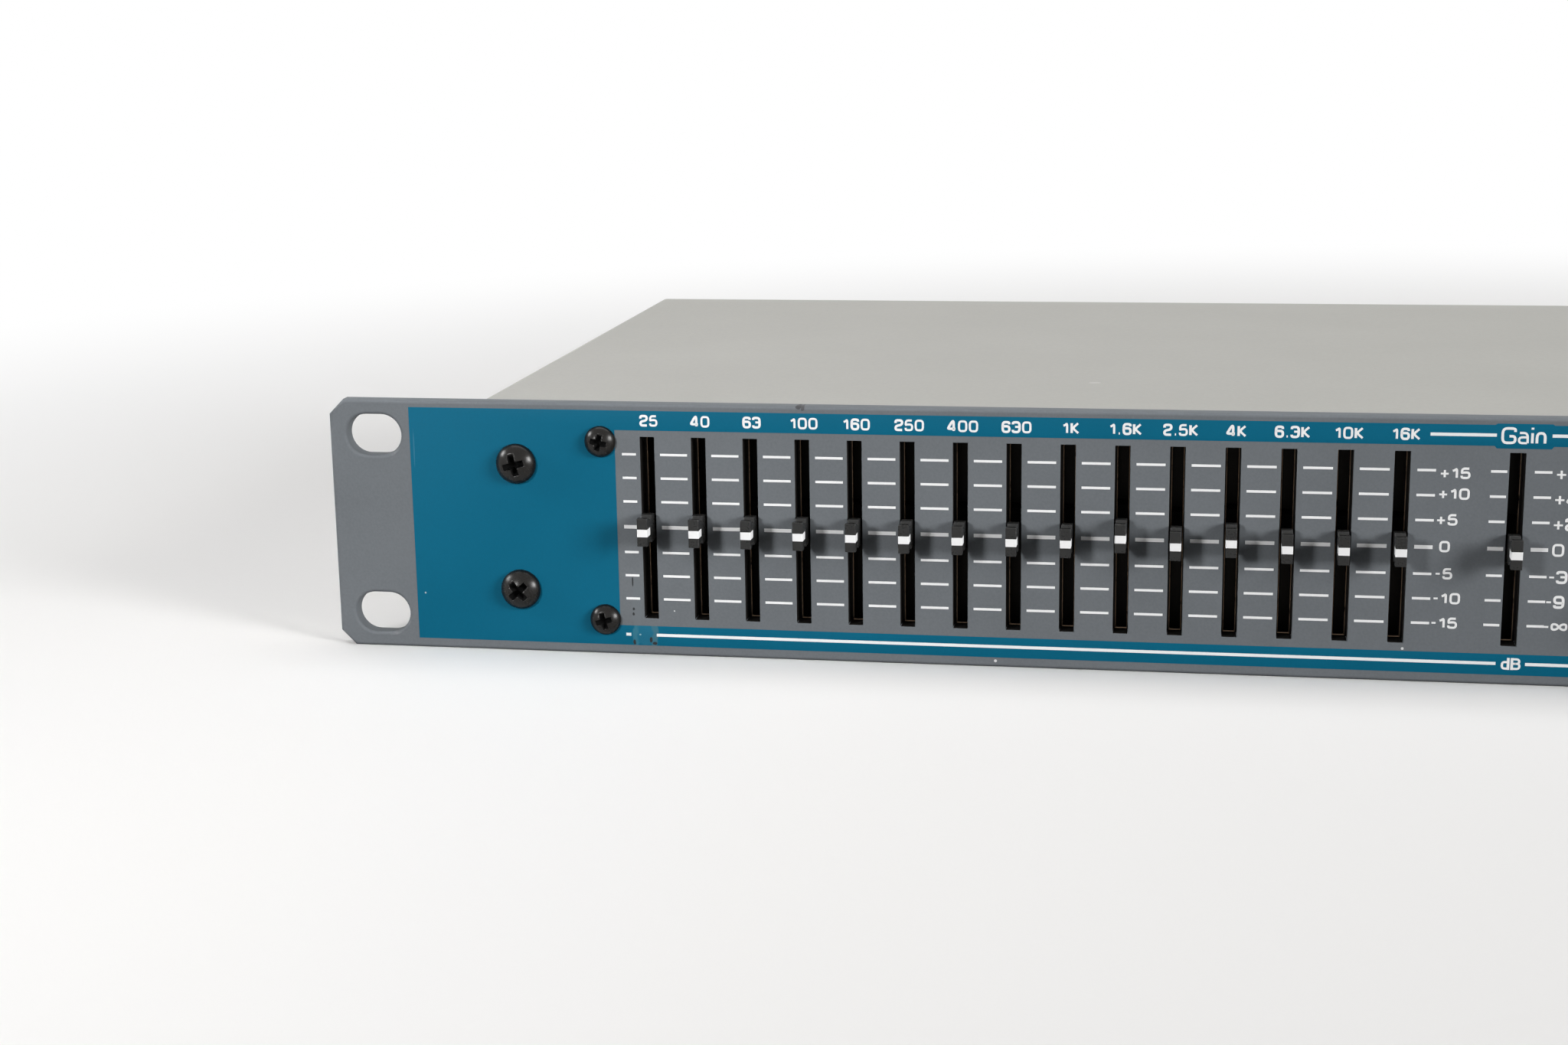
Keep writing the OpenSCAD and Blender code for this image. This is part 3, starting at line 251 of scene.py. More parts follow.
class Finish:
    """A material being built: its tree, its shader and the colour that reaches the shader."""

    def __init__(self, name, colour, roughness, metallic=0.0, shine=0.5):
        self.material = bpy.data.materials.new(name)
        self.material.use_nodes = True
        self.tree = self.material.node_tree
        self.shader = self.tree.nodes["Principled BSDF"]
        self.shader.inputs["Metallic"].default_value = metallic
        self.shader.inputs["Roughness"].default_value = roughness
        self.shader.inputs["Specular IOR Level"].default_value = shine
        self.roughness = roughness
        self.colour = (*colour, 1.0)
        self.place = add(self.tree, "ShaderNodeTexCoord").outputs["Object"]

    def group(self, shared, **inputs):
        """A shared group, placed in this material with its own values."""
        return add(self.tree, "ShaderNodeGroup", {"node_tree": shared}, Coordinates=self.place, **inputs)

    def tint(self, mask, colour):
        """Mixes a colour over what is there, where the mask is white."""
        mix = add(self.tree, "ShaderNodeMix", {"data_type": "RGBA", "clamp_factor": True},
                  Factor=mask, _6=self.colour, _7=(*colour, 1.0))
        self.colour = mix.outputs[2]

    def grain(self, fine, cloud, spread, bump, rough_spread=0.1):
        """Fine paint or moulding texture in tone, roughness and height."""
        node = self.group(PAINT_GRAIN, Grain=fine, Cloud=cloud)
        base = self.colour[:3]
        lighter = tuple(min(1.0, c * (1 + spread)) for c in base)
        self.colour = (*(c * (1 - spread) for c in base), 1.0)
        stretched = add(self.tree, "ShaderNodeMath", {"operation": "MULTIPLY_ADD"},
                        _0=node.outputs["Tone"], _1=TONE_STRETCH, _2=TONE_SHIFT)
        self.tint(stretched.outputs[0], lighter)
        rough = add(self.tree, "ShaderNodeMapRange", Value=node.outputs["Tone"],
                    From_Min=TONE_LOW, From_Max=TONE_HIGH,
                    To_Min=max(0.0, self.roughness - rough_spread),
                    To_Max=min(1.0, self.roughness + rough_spread))
        self.tree.links.new(rough.outputs["Result"], self.shader.inputs["Roughness"])
        raised = add(self.tree, "ShaderNodeBump", Height=node.outputs["Height"], Distance=bump * MM,
                     Strength=1.0)
        self.tree.links.new(raised.outputs["Normal"], self.shader.inputs["Normal"])

    def worn_and_highlighted_edges(self, colour, amount, patches):
        """Paler colour along the edges that a piece marks as rounded: partly bare, rubbed paint and partly
        a painted highlight on the rounding.
        """
        edge = add(self.tree, "ShaderNodeAttribute", {"attribute_name": "edge"})
        node = self.group(EDGE_WEAR_AND_HIGHLIGHT, Edge=edge.outputs["Fac"], Amount=amount, Patches=patches)
        self.tint(node.outputs["Mask"], colour)

    def specks(self, colour, spacing, size, share):
        node = self.group(SPECKS, Spacing=spacing, Size=size, Share=share)
        self.tint(node.outputs["Mask"], colour)

    def patch(self, colour, centre, size, fine):
        node = self.group(PATCH, Centre=centre, Size=size, Break=fine)
        self.tint(node.outputs["Mask"], colour)

    def panel_marks(self, marks):
        """Small marks of wear at their places on the panel."""
        for colour, x, z, wide, high, fine in marks:
            self.patch(colour, on_panel(x, z), (wide * MM, MARK_DEPTH * MM, high * MM), fine)

    def done(self):
        """Gives the shader the colour, and returns the material."""
        feed(self.tree, self.shader.inputs["Base Color"], self.colour)
        return self.material


# Wear on the panel: half the depth of all marks, and for each its colour, place, half width, half height
# and the fineness of its broken outline
MARK_DEPTH = 3.0
DARK = (0.035, 0.036, 0.038)
PANEL_MARKS = (
    ((0.16, 0.178, 0.192), 54.0, -13.5, 0.9, 4.6, 420.0),
    ((0.07, 0.072, 0.075), 82.8, 22.0, 0.55, 0.5, 1800.0),
    ((0.09, 0.092, 0.095), 83.5, 21.7, 0.35, 0.5, 1800.0),
    (DARK, 53.4, -9.1, 0.15, 0.85, 1500.0),
    (DARK, 53.45, -13.9, 0.22, 0.28, 1800.0),
    (DARK, 53.4, -14.75, 0.22, 0.28, 1800.0),
    ((0.75, 0.75, 0.75), 60.66, -14.0, 0.13, 0.13, 1800.0),
)
INK_MARKS = (
    ((0.04, 0.185, 0.26), 53.9, -18.4, 0.8, 2.4, 700.0),
    ((0.05, 0.165, 0.225), 57.0, -18.2, 0.75, 2.1, 800.0),
    ((0.016, 0.148, 0.24), 55.4, -18.3, 1.6, 2.0, 600.0),
    (DARK, 53.45, -19.8, 0.26, 0.5, 1500.0),
    (DARK, 56.4, -19.3, 0.26, 0.5, 1500.0),
    (DARK, 57.0, -19.9, 0.42, 0.3, 1500.0),
    ((0.3, 0.5, 0.56), 54.5, -18.4, 0.2, 0.16, 1800.0),
    ((0.5, 0.56, 0.6), 16.0, -12.1, 0.16, 0.16, 1800.0),
    ((0.03, 0.16, 0.25), 15.2, 14.0, 0.14, 3.4, 300.0),
)
# Fleck on the cover: its place in the frame and its half width and half depth
COVER_FLECK = (-110.4, -37.9)
COVER_FLECK_SIZE = (1.1, 0.9)


def make_panel_paint():
    paint = Finish("panel_paint", (0.158, 0.172, 0.185), roughness=0.6, shine=0.12)
    paint.grain(fine=2400.0, cloud=55.0, spread=0.1, bump=0.012)
    # Paler rounded edges: rubbed paint, and a painted highlight along the slot rims and the outside
    paint.worn_and_highlighted_edges((0.26, 0.265, 0.275), amount=0.42, patches=120.0)
    paint.specks((0.7, 0.7, 0.7), spacing=120.0, size=0.03, share=0.06)
    paint.panel_marks(PANEL_MARKS)
    return paint.done()


def make_teal_ink():
    ink = Finish("teal_ink", (0.002, 0.122, 0.212), roughness=0.55, shine=0.1)
    ink.grain(fine=2600.0, cloud=70.0, spread=0.05, bump=0.006, rough_spread=0.06)
    ink.specks((0.55, 0.6, 0.62), spacing=110.0, size=0.03, share=0.05)
    ink.panel_marks(INK_MARKS)
    return ink.done()


def make_white_ink():
    ink = Finish("white_ink", (0.94, 0.94, 0.94), roughness=0.5, shine=0.2)
    ink.grain(fine=2600.0, cloud=90.0, spread=0.03, bump=0.004, rough_spread=0.05)
    return ink.done()


def make_cover_paint():
    paint = Finish("cover_paint", (0.478, 0.473, 0.445), roughness=0.75, shine=0.15)
    paint.grain(fine=1500.0, cloud=30.0, spread=0.06, bump=0.02)
    paint.worn_and_highlighted_edges((0.62, 0.62, 0.6), amount=0.46, patches=90.0)
    paint.specks((0.62, 0.6, 0.57), spacing=60.0, size=0.02, share=0.1)
    centre = (*(c * MM for c in COVER_FLECK), COVER_TOP)
    size = tuple(c * MM for c in (*COVER_FLECK_SIZE, MARK_DEPTH))
    paint.patch((0.55, 0.54, 0.52), centre, size, fine=900.0)
    return paint.done()


def make_screw_black():
    steel = Finish("screw_black", (0.006, 0.005, 0.004), roughness=0.26, shine=0.28)
    steel.grain(fine=1800.0, cloud=200.0, spread=0.2, bump=0.003, rough_spread=0.06)
    steel.worn_and_highlighted_edges((0.09, 0.085, 0.08), amount=0.4, patches=700.0)
    return steel.done()


def make_housing_steel():
    """Blackened steel whose edges are painted brown: partly bare steel, partly a painted brown highlight
    along the edges.
    """
    steel = Finish("housing_steel", (0.012, 0.011, 0.01), roughness=0.45, metallic=1.0)
    steel.grain(fine=1600.0, cloud=220.0, spread=0.2, bump=0.003, rough_spread=0.08)
    # Brown edges: bare steel, and the brown highlight that the edges show inside the slots
    steel.worn_and_highlighted_edges((0.22, 0.155, 0.105), amount=0.72, patches=500.0)
    return steel.done()


def make_board():
    board = Finish("board", (0.012, 0.085, 0.035), roughness=0.35)
    board.grain(fine=1400.0, cloud=300.0, spread=0.25, bump=0.004)
    board.specks((0.55, 0.5, 0.36), spacing=190.0, size=0.16, share=0.3)
    return board.done()


def make_lamp_lens():
    lens = Finish("lamp_lens", (0.3, 0.012, 0.008), roughness=0.18)
    lens.grain(fine=1200.0, cloud=300.0, spread=0.15, bump=0.002, rough_spread=0.04)
    return lens.done()


def make_plastic(name, colour, roughness, bump, edge, shine):
    plastic = Finish(name, colour, roughness, shine=shine)
    plastic.grain(fine=3000.0, cloud=260.0, spread=0.12, bump=bump, rough_spread=0.07)
    if edge:
        plastic.worn_and_highlighted_edges(edge, amount=0.45, patches=600.0)
    return plastic.done()


def make_metal(name, colour, roughness):
    metal = Finish(name, colour, roughness, metallic=1.0)
    metal.grain(fine=1600.0, cloud=220.0, spread=0.12, bump=0.004)
    metal.specks(tuple(METAL_SPECK * c for c in colour), spacing=320.0, size=0.05, share=0.12)
    return metal.done()


# Plastics: colour, roughness, height of the moulded grain, colour of the worn and highlighted edges and
# shine
PLASTICS = {
    # The first two are near-black painted shade, for the walls of the fader slots, the screws' cross
    # recesses and the levers behind the panel
    "slot_shade": ((0.012, 0.011, 0.01), 0.6, 0.006, None, 0.15),
    "recess_black": ((0.003, 0.003, 0.003), 0.7, 0.006, None, 0.05),
    "chip_plastic": ((0.018, 0.018, 0.019), 0.5, 0.006, None, 0.5),
    "capacitor_sleeve": ((0.015, 0.025, 0.09), 0.3, 0.006, None, 0.5),
    "cable_plastic": ((0.32, 0.33, 0.35), 0.5, 0.006, None, 0.5),
    "switch_plastic": ((0.013, 0.013, 0.014), 0.32, 0.006, (0.06, 0.06, 0.06), 0.5),
    "socket_plastic": ((0.016, 0.016, 0.017), 0.4, 0.008, (0.07, 0.07, 0.07), 0.5),
    "fader_plastic": ((0.019, 0.019, 0.0185), 0.3, 0.006, (0.08, 0.08, 0.078), 0.27),
}
# Bare metals: colour and roughness, and how much of the colour is left in their specks
METAL_SPECK = 0.45
METALS = {
    "spacer_metal": ((0.62, 0.62, 0.63), 0.35),
    "core_steel": ((0.1, 0.1, 0.11), 0.45),
    "contact_metal": ((0.72, 0.71, 0.68), 0.22),
}
FINISHES = {
    "panel_paint": make_panel_paint(),
    "case_paint": make_cover_paint(),
    "teal_ink": make_teal_ink(),
    "white_ink": make_white_ink(),
    "screw_black": make_screw_black(),
    "housing_steel": make_housing_steel(),
    "board": make_board(),
    "lamp_lens": make_lamp_lens(),
}
FINISHES.update({name: make_plastic(name, *row) for name, row in PLASTICS.items()})
FINISHES.update({name: make_metal(name, *row) for name, row in METALS.items()})


def dress_solids():
    """Gives every solid the finish of its slot."""
    for node, solid in NODES.items():
        solid.data.materials.clear()
        solid.data.materials.append(FINISHES[SLOT_OF[node]])


# Modelling helpers

# Points this close are one point: in a copied mesh, after points are moved, and on a cutting plane
COPY_WELD = 0.0005
MOVE_WELD = 0.001
CUT_WELD = 0.00001
# Angles in degrees: faces that make one flat face, edges that are rounded, and edges that shade sharp
FLAT_ANGLE = 0.5
ROUNDED_ANGLE = 40.0
SHADED_ANGLE = 35.0


def new_piece(name, bm, finishes, body):
    """Turns a bmesh into a piece at the origin that rides on a body."""
    mesh = bpy.data.meshes.new(name)
    bm.to_mesh(mesh)
    bm.free()
    for finish in finishes:
        mesh.materials.append(FINISHES[finish])
    for polygon in mesh.polygons:
        polygon.use_smooth = True
    mesh.set_sharp_from_angle(angle=math.radians(SHADED_ANGLE))
    piece = bpy.data.objects.new(name, mesh)
    bpy.context.scene.collection.objects.link(piece)
    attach(piece, body)
    return piece


def stand_for(node, bm, finishes):
    """A piece in place of a solid, on the solid's body and with the given finishes."""
    piece = new_piece(f"{node}_finished", bm, finishes, NODES[node]["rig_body"])
    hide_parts(node)
    return piece


def hold_flat_faces(piece):
    """Keeps the shading of large flat faces flat beside rounded edges."""
    weighted = piece.modifiers.new("flat faces", "WEIGHTED_NORMAL")
    weighted.keep_sharp = True
    weighted.mode = "FACE_AREA"
    weighted.weight = 100


def joined_copy(node, reshape=None):
    """A bmesh copy of a solid's mesh, reshaped if asked, with its triangles joined into flat faces."""
    bm = bmesh.new()
    bm.from_mesh(NODES[node].data)
    bmesh.ops.remove_doubles(bm, verts=bm.verts, dist=COPY_WELD * MM)
    if reshape:
        reshape(bm)
        bmesh.ops.remove_doubles(bm, verts=bm.verts, dist=MOVE_WELD * MM)
    bmesh.ops.dissolve_limit(bm, angle_limit=math.radians(FLAT_ANGLE), verts=bm.verts, edges=bm.edges)
    return bm


def cut_faces(bm, place, across):
    """Cuts a mesh's faces along a plane, and keeps both sides."""
    bmesh.ops.bisect_plane(bm, geom=bm.verts[:] + bm.edges[:] + bm.faces[:], dist=CUT_WELD * MM,
                           plane_co=place, plane_no=across)


def round_edges(bm, width, segments, sharp=ROUNDED_ANGLE, chosen=None):
    """Rounds the edges that turn more than the sharp angle, and marks the new faces as edge."""
    layer = bm.faces.layers.float.get("edge") or bm.faces.layers.float.new("edge")
    edges = [e for e in bm.edges if e.is_manifold and e.calc_face_angle(0.0) > math.radians(sharp)]
    if chosen:
        edges = [e for e in edges if chosen((e.verts[0].co + e.verts[1].co) / 2)]
    made = bmesh.ops.bevel(bm, geom=edges, offset=width * MM, offset_type="OFFSET", segments=segments,
                           profile=0.5, affect="EDGES", material=-1, clamp_overlap=False,
                           loop_slide=False)
    for face in made["faces"]:
        face[layer] = 1.0
    bmesh.ops.dissolve_degenerate(bm, dist=MOVE_WELD * MM, edges=bm.edges)


def softened(node, width, segments, sharp=ROUNDED_ANGLE):
    """A piece that stands for a solid, with its sharp edges rounded."""
    bm = joined_copy(node)
    round_edges(bm, width, segments, sharp)
    hold_flat_faces(stand_for(node, bm, [SLOT_OF[node]]))


def evaluated_mesh(thing):
    """The mesh that an object has once its curve or its modifiers are worked out."""
    bpy.context.view_layer.update()
    return bpy.data.meshes.new_from_object(thing.evaluated_get(bpy.context.evaluated_depsgraph_get()))


def curve_bmesh(curve, place):
    """A bmesh of a drawn curve, moved to its place."""
    drawn = bpy.data.objects.new(curve.name, curve)
    bpy.context.scene.collection.objects.link(drawn)
    mesh = evaluated_mesh(drawn)
    bpy.data.objects.remove(drawn)
    mesh.transform(place)
    bm = bmesh.new()
    bm.from_mesh(mesh)
    bpy.data.meshes.remove(mesh)
    return bm


# Lettering: each sign is drawn as pen strokes in a cell one high, and its width is given first

SIGNS = {
    "0": (1.0, [[(0, 0), (0, 1), (1, 1), (1, 0), (0, 0)]]),
    "1": (0.62, [[(0, 0.74), (0.24, 0.8), (0.5, 1), (0.5, 0)]]),
    "2": (0.9, [[(0, 0.72), (0, 1), (0.9, 1), (0.9, 0.56), (0, 0.4), (0, 0), (0.9, 0)]]),
    "3": (0.9, [[(0, 0.78), (0, 1), (0.9, 1), (0.9, 0), (0, 0), (0, 0.22)], [(0.3, 0.53), (0.9, 0.53)]]),
    "4": (0.98, [[(0.74, 0), (0.74, 1), (0.55, 1), (0, 0.32), (0, 0.22), (0.98, 0.22)]]),
    "5": (0.9, [[(0.86, 1), (0.05, 1), (0, 0.5), (0.1, 0.58), (0.9, 0.6), (0.9, 0), (0, 0), (0, 0.24)]]),
    "6": (0.9, [[(0.88, 0.78), (0.88, 1), (0, 1), (0, 0), (0.9, 0), (0.9, 0.58), (0, 0.58)]]),
    "9": (0.9, [[(0.02, 0.22), (0.02, 0), (0.9, 0), (0.9, 1), (0, 1), (0, 0.42), (0.9, 0.42)]]),
    "K": (0.9, [[(0, 0), (0, 1)], [(0.86, 1), (0.12, 0.5), (0.9, 0)]]),
    ".": (0.18, [[(0, 0.04), (0.16, 0.04)]]),
    "+": (0.94, [[(0, 0.42), (0.94, 0.42)], [(0.47, 0.03), (0.47, 0.81)]]),
    "-": (0.5, [[(0, 0.48), (0.5, 0.48)]]),
    "~": (1.5, [[(0.75, 0.5), (0.45, 0.76), (0, 0.76), (0, 0.24), (0.45, 0.24), (0.75, 0.5),
                 (1.05, 0.76), (1.5, 0.76), (1.5, 0.24), (1.05, 0.24), (0.75, 0.5)]]),
    "G": (0.96, [[(0.96, 0.76), (0.96, 1), (0, 1), (0, 0), (0.96, 0), (0.96, 0.46), (0.52, 0.46)]]),
    "a": (0.66, [[(0.04, 0.7), (0.64, 0.7), (0.66, 0)], [(0.66, 0.4), (0, 0.4), (0, 0), (0.62, 0)]]),
    "i": (0.1, [[(0.05, 0), (0.05, 0.7)], [(0.05, 0.94), (0.05, 1.08)]]),
    "n": (0.62, [[(0, 0), (0, 0.7), (0.62, 0.7), (0.62, 0)]]),
    "d": (0.7, [[(0.7, 1.13), (0.7, -0.13)], [(0.7, 0), (0, 0), (0, 0.68), (0.7, 0.68)]]),
    "B": (0.86, [[(0, -0.13), (0, 1.13)], [(0, 1), (0.82, 1), (0.82, 0.53), (0, 0.53)],
                 [(0.3, 0.53), (0.86, 0.53), (0.86, 0), (0, 0)]]),
}
# Gap between signs, and the strokes' corners: radius, the most of a stretch that a corner may take, and
# the steps of its curve
SIGN_GAP = 0.5
CORNER = 0.34
CORNER_REACH = 0.45
CORNER_STEPS = 4

# Ink: how far the white strokes stand off the panel, and the thickness and edge of all ink
INK_RISE = 0.03
INK_T = 0.02
INK_EDGE = INK_T / 4


def rounded_path(points, radius):
    """A stroke's points with its corners drawn as short curves, and whether the stroke is closed."""
    closed = points[0] == points[-1]
    nodes = [Vector(p) for p in (points[:-1] if closed else points)]
    path = [] if closed else [nodes[0]]
    turns = range(len(nodes)) if closed else range(1, len(nodes) - 1)
    for k in turns:
        here = nodes[k]
        back = nodes[k - 1] - here
        ahead = nodes[(k + 1) % len(nodes)] - here
        start = here + back.normalized() * min(radius, back.length * CORNER_REACH)
        stop = here + ahead.normalized() * min(radius, ahead.length * CORNER_REACH)
        for step in range(CORNER_STEPS + 1):
            t = step / CORNER_STEPS
            path.append(start * (1 - t) ** 2 + here * 2 * t * (1 - t) + stop * t ** 2)
    if not closed:
        path.append(nodes[-1])
    return path, closed


class Print:
    """White print on the panel: pen strokes gathered in a flat curve, then made a mesh."""

    def __init__(self, name, pen):
        self.curve = bpy.data.curves.new(name, "CURVE")
        self.curve.dimensions = "3D"
        self.curve.bevel_depth = pen / 2
        self.curve.bevel_resolution = 1
        self.curve.use_fill_caps = True
        self.pen = pen

    def stroke(self, path, closed=False):
        spline = self.curve.splines.new("POLY")
        spline.points.add(len(path) - 1)
        for point, (x, z) in zip(spline.points, path):
            point.co = (x, 0.0, z, 1.0)
        spline.use_cyclic_u = closed

    def line(self, x0, x1, z):
        self.stroke([(x0, z), (x1, z)])

    def write(self, text, x, z, height, width, align=0.0, gap=SIGN_GAP):
        """Writes signs whose strokes span the height; align 0 starts at x and 0.5 centres there."""
        total = sum(SIGNS[s][0] for s in text) + gap * (len(text) - 1)
        pen_x = x - align * total * height * width
        for sign in text:
            sign_w, strokes = SIGNS[sign]
            for points in strokes:
                path, closed = rounded_path(points, CORNER)
                drawn = [(pen_x + p.x * height * width, z + (p.y - 0.5) * height) for p in path]
                self.stroke(drawn, closed)
            pen_x += (sign_w + gap) * height * width
        return pen_x

    def done(self):
        """Makes the strokes a thin mesh on the panel's face."""
        flat = Matrix.Diagonal((MM, INK_T * MM / self.pen, MM, 1.0))
        off_panel = Matrix.Translation((0, -INK_RISE * MM, 0))
        bm = curve_bmesh(self.curve, Matrix.Translation(on_panel(0.0, 0.0)) @ off_panel @ flat)
        new_piece(self.curve.name, bm, ["white_ink"], "case")


# Scale beside the faders: the zero mark's height, the rows from it, and the pens
ZERO_MARK = 0.67
ROW_RISES = (12.65, 8.55, 4.44, 0.0, -4.44, -8.55, -12.65)
DASH_PEN = 0.48
ZERO_PEN = 0.72
# Dashes: start and end from the middle between two bands, and from the faders at the ends of the scales
BETWEEN_DASH = (-2.2, 2.5)
END_DASHES = (("25", -4.4, -1.95), ("16k", 2.35, 5.25), ("gain", -4.05, -1.55), ("gain", 2.65, 5.35))


def print_scales():
    marks = Print("scale_marks", DASH_PEN)
    zero = Print("zero_marks", ZERO_PEN)
    for channel in CHANNELS:
        xs = [FADER_X[channel, band] for band in BANDS]
        spans = []
        for a, b in zip(xs, xs[1:]):
            between = (a + b) / 2
            spans.append((between + BETWEEN_DASH[0], between + BETWEEN_DASH[1]))
        for band, start, end in END_DASHES:
            spans.append((FADER_X[channel, band] + start, FADER_X[channel, band] + end))
        for rise in ROW_RISES:
            drawn = zero if rise == 0.0 else marks
            for x0, x1 in spans:
                drawn.line(x0, x1, ZERO_MARK + rise)
    marks.done()
    zero.done()


# Print's heights on the strips above and below the scales
UPPER_LINE = 19.2
UPPER_WORD = 19.15
LOWER_LINE = -18.4

# Numbers: pens, the band numbers' place right of the fader, and letters' heights and widths per height
BAND_PEN = 0.41
BAND_SHIFT = 0.4
BAND_HEIGHT = 1.62
BAND_WIDTH = 0.74
LEVEL_PEN = 0.43
SIGN_PEN = 0.35
LETTER_WIDTH = 0.86
# Levels beside the last band's fader and the gain fader: fader, height of the letters, gap between them,
# and for each row what it says, its start right of the fader and its lift
LEVELS = (
    ("16k", 1.52, 0.46, (("+15", 6.0, -0.4), ("+10", 5.9, 0.3), ("+5", 5.75, 0.15), ("0", 6.45, 0.15),
                         ("-5", 5.9, 0.1), ("-10", 5.75, 0.1), ("-15", 5.6, 0.1))),
    ("gain", 1.74, 0.34, (("+6", 6.05, -0.2), ("+4", 6.0, -0.2), ("+2", 6.0, -0.2), ("0", 6.15, 0.0),
                          ("-3", 5.75, 0.0), ("-9", 5.5, 0.0), ("-~", 5.3, 0.0))),
)


def band_label(band):
    """A band as it is printed: 1k6 in a solid's name is 1.6K."""
    whole, kilo, rest = band.partition("k")
    return whole + (f".{rest}" if rest else "") + kilo.upper()


def print_numbers():
    bands = Print("band_numbers", BAND_PEN)
    levels = Print("level_numbers", LEVEL_PEN)
    signs = Print("level_signs", SIGN_PEN)
    for channel in CHANNELS:
        for band in BANDS:
            bands.write(band_label(band), FADER_X[channel, band] + BAND_SHIFT, UPPER_WORD,
                        BAND_HEIGHT, BAND_WIDTH, align=0.5)
        for band, height, gap, rows in LEVELS:
            for (text, start, lift), rise in zip(rows, ROW_RISES):
                x = FADER_X[channel, band] + start
                z = ZERO_MARK + rise + lift
                if text[0] in "+-":
                    x = signs.write(text[0], x, z, height, LETTER_WIDTH, gap=gap)
                    text = text[1:]
                levels.write(text, x, z, height, LETTER_WIDTH, gap=gap)
    bands.done()
    levels.done()
    signs.done()


# Lines and words on the strips, from the panel's left end; channel 2's lie a channel's step further right
LINE_PEN = 0.6
WORD_PEN = 0.42
CORNER_LINE = (52.0, 52.9)
BEFORE_GAIN = (185.2, 195.4)
GAIN_WORD = 196.3
GAIN_HEIGHT = 2.33
GAIN_GAP = 0.3
AFTER_GAIN = 203.9
BEFORE_DB = 197.0
DB_WORD = 198.0
DB_HEIGHT = 1.6
DB_GAP = 0.42
AFTER_DB = 201.6
# Each channel's lower line's start and end, and its upper line's end, all from the panel's left end
STRIP_ENDS = {1: (57.4, 233.0, 225.0), 2: (44.0 + CHANNEL_STEP, 426.0, 426.0)}


def print_strips():
    lines = Print("strip_lines", LINE_PEN)
    words = Print("strip_words", WORD_PEN)
    lines.line(*CORNER_LINE, LOWER_LINE)
    for channel in CHANNELS:
        shift = (channel - 1) * CHANNEL_STEP
        lower_start, lower_end, upper_end = STRIP_ENDS[channel]
        lines.line(lower_start, BEFORE_DB + shift, LOWER_LINE)
        lines.line(AFTER_DB + shift, lower_end, LOWER_LINE)
        lines.line(BEFORE_GAIN[0] + shift, BEFORE_GAIN[1] + shift, UPPER_LINE)
        lines.line(AFTER_GAIN + shift, upper_end, UPPER_LINE)
        words.write("Gain", GAIN_WORD + shift, UPPER_WORD, GAIN_HEIGHT, LETTER_WIDTH, gap=GAIN_GAP)
        words.write("dB", DB_WORD + shift, LOWER_LINE, DB_HEIGHT, LETTER_WIDTH, gap=DB_GAP)
    lines.done()
    words.done()


# Teal field and the bare field in it, with low steps in both above the gain faders
TEAL_EDGE = 14.5
TEAL_TOP = 20.85
TEAL_BOTTOM = -20.3
TEAL_STEP = 0.22
FIELD_EDGE = 51.0
FIELD_TOP = 17.45
FIELD_BOTTOM = -16.8
FIELD_STEP = -0.4
STEP_LEFT = 195.5
STEP_W = 8.4
STEP_SLOPE = 0.35


def field_outline(edge, bottom, top, step):
    """Outline of a field that is as far from both ends of the panel, with the steps in its upper side."""
    right = PANEL_W - edge
    outline = [(edge, bottom), (right, bottom), (right, top)]
    for channel in reversed(CHANNELS):
        left = STEP_LEFT + (channel - 1) * CHANNEL_STEP
        outline += [(left + STEP_W + STEP_SLOPE, top), (left + STEP_W, top + step),
                    (left, top + step), (left - STEP_SLOPE, top)]
    return outline + [(edge, top)]


def print_teal():
    """A thin sheet of ink round the bare field."""
    curve = bpy.data.curves.new("teal_fields", "CURVE")
    curve.dimensions = "2D"
    curve.fill_mode = "BOTH"
    curve.extrude = (INK_T / 2 - INK_EDGE) * MM
    curve.bevel_depth = INK_EDGE * MM
    curve.bevel_resolution = 2
    curve.offset = -INK_EDGE * MM
    outside = field_outline(TEAL_EDGE, TEAL_BOTTOM, TEAL_TOP, TEAL_STEP)
    inside = field_outline(FIELD_EDGE, FIELD_BOTTOM, FIELD_TOP, FIELD_STEP)
    for points in (outside, inside[::-1]):
        spline = curve.splines.new("POLY")
        spline.points.add(len(points) - 1)
        for point, (x, z) in zip(spline.points, points):
            point.co = (x * MM, z * MM, 0.0, 1.0)
        spline.use_cyclic_u = True
    upright = Matrix.Rotation(math.radians(90), 4, "X")
    place = Matrix.Translation((PANEL_LEFT, PANEL_FRONT - INK_T / 2 * MM, PANEL_MID))
    bm = curve_bmesh(curve, place @ upright)
    bmesh.ops.remove_doubles(bm, verts=bm.verts, dist=COPY_WELD * MM)
    new_piece("teal_fields", bm, ["teal_ink"], "case")


# Caps: the rounding of their edges, the depth in which their front's points lie, and the white stripe's
# top and bottom from the cap's middle and its depth from the cap's front
CAP_ROUNDING = 0.12
CAP_TIP = 0.5
STRIPE_TOP = 0.525
STRIPE_BOTTOM = -0.775
STRIPE_DEPTH = 2.2
# Rims behind the finger scoops: where they start and end in front of the panel, how far they lie from the
# cap's middle at least, and how far they are lifted
SHOULDER_BACK = 0.3
SHOULDER_FRONT = 2.0
SHOULDER_OUT = 1.9
SHOULDER_RISE = 0.32
SHOULDER_SLACK = 0.01
# Levers get painted shade, a near-black finish, from this far behind the panel's front
SHADE_DEPTH = 2.0


def middle_of_cap(bm):
    """Height of a cap's middle, from the points on its front."""
    front = [v.co.z for v in bm.verts if v.co.y < CAP_FRONT + CAP_TIP * MM]
    return (min(front) + max(front)) / 2


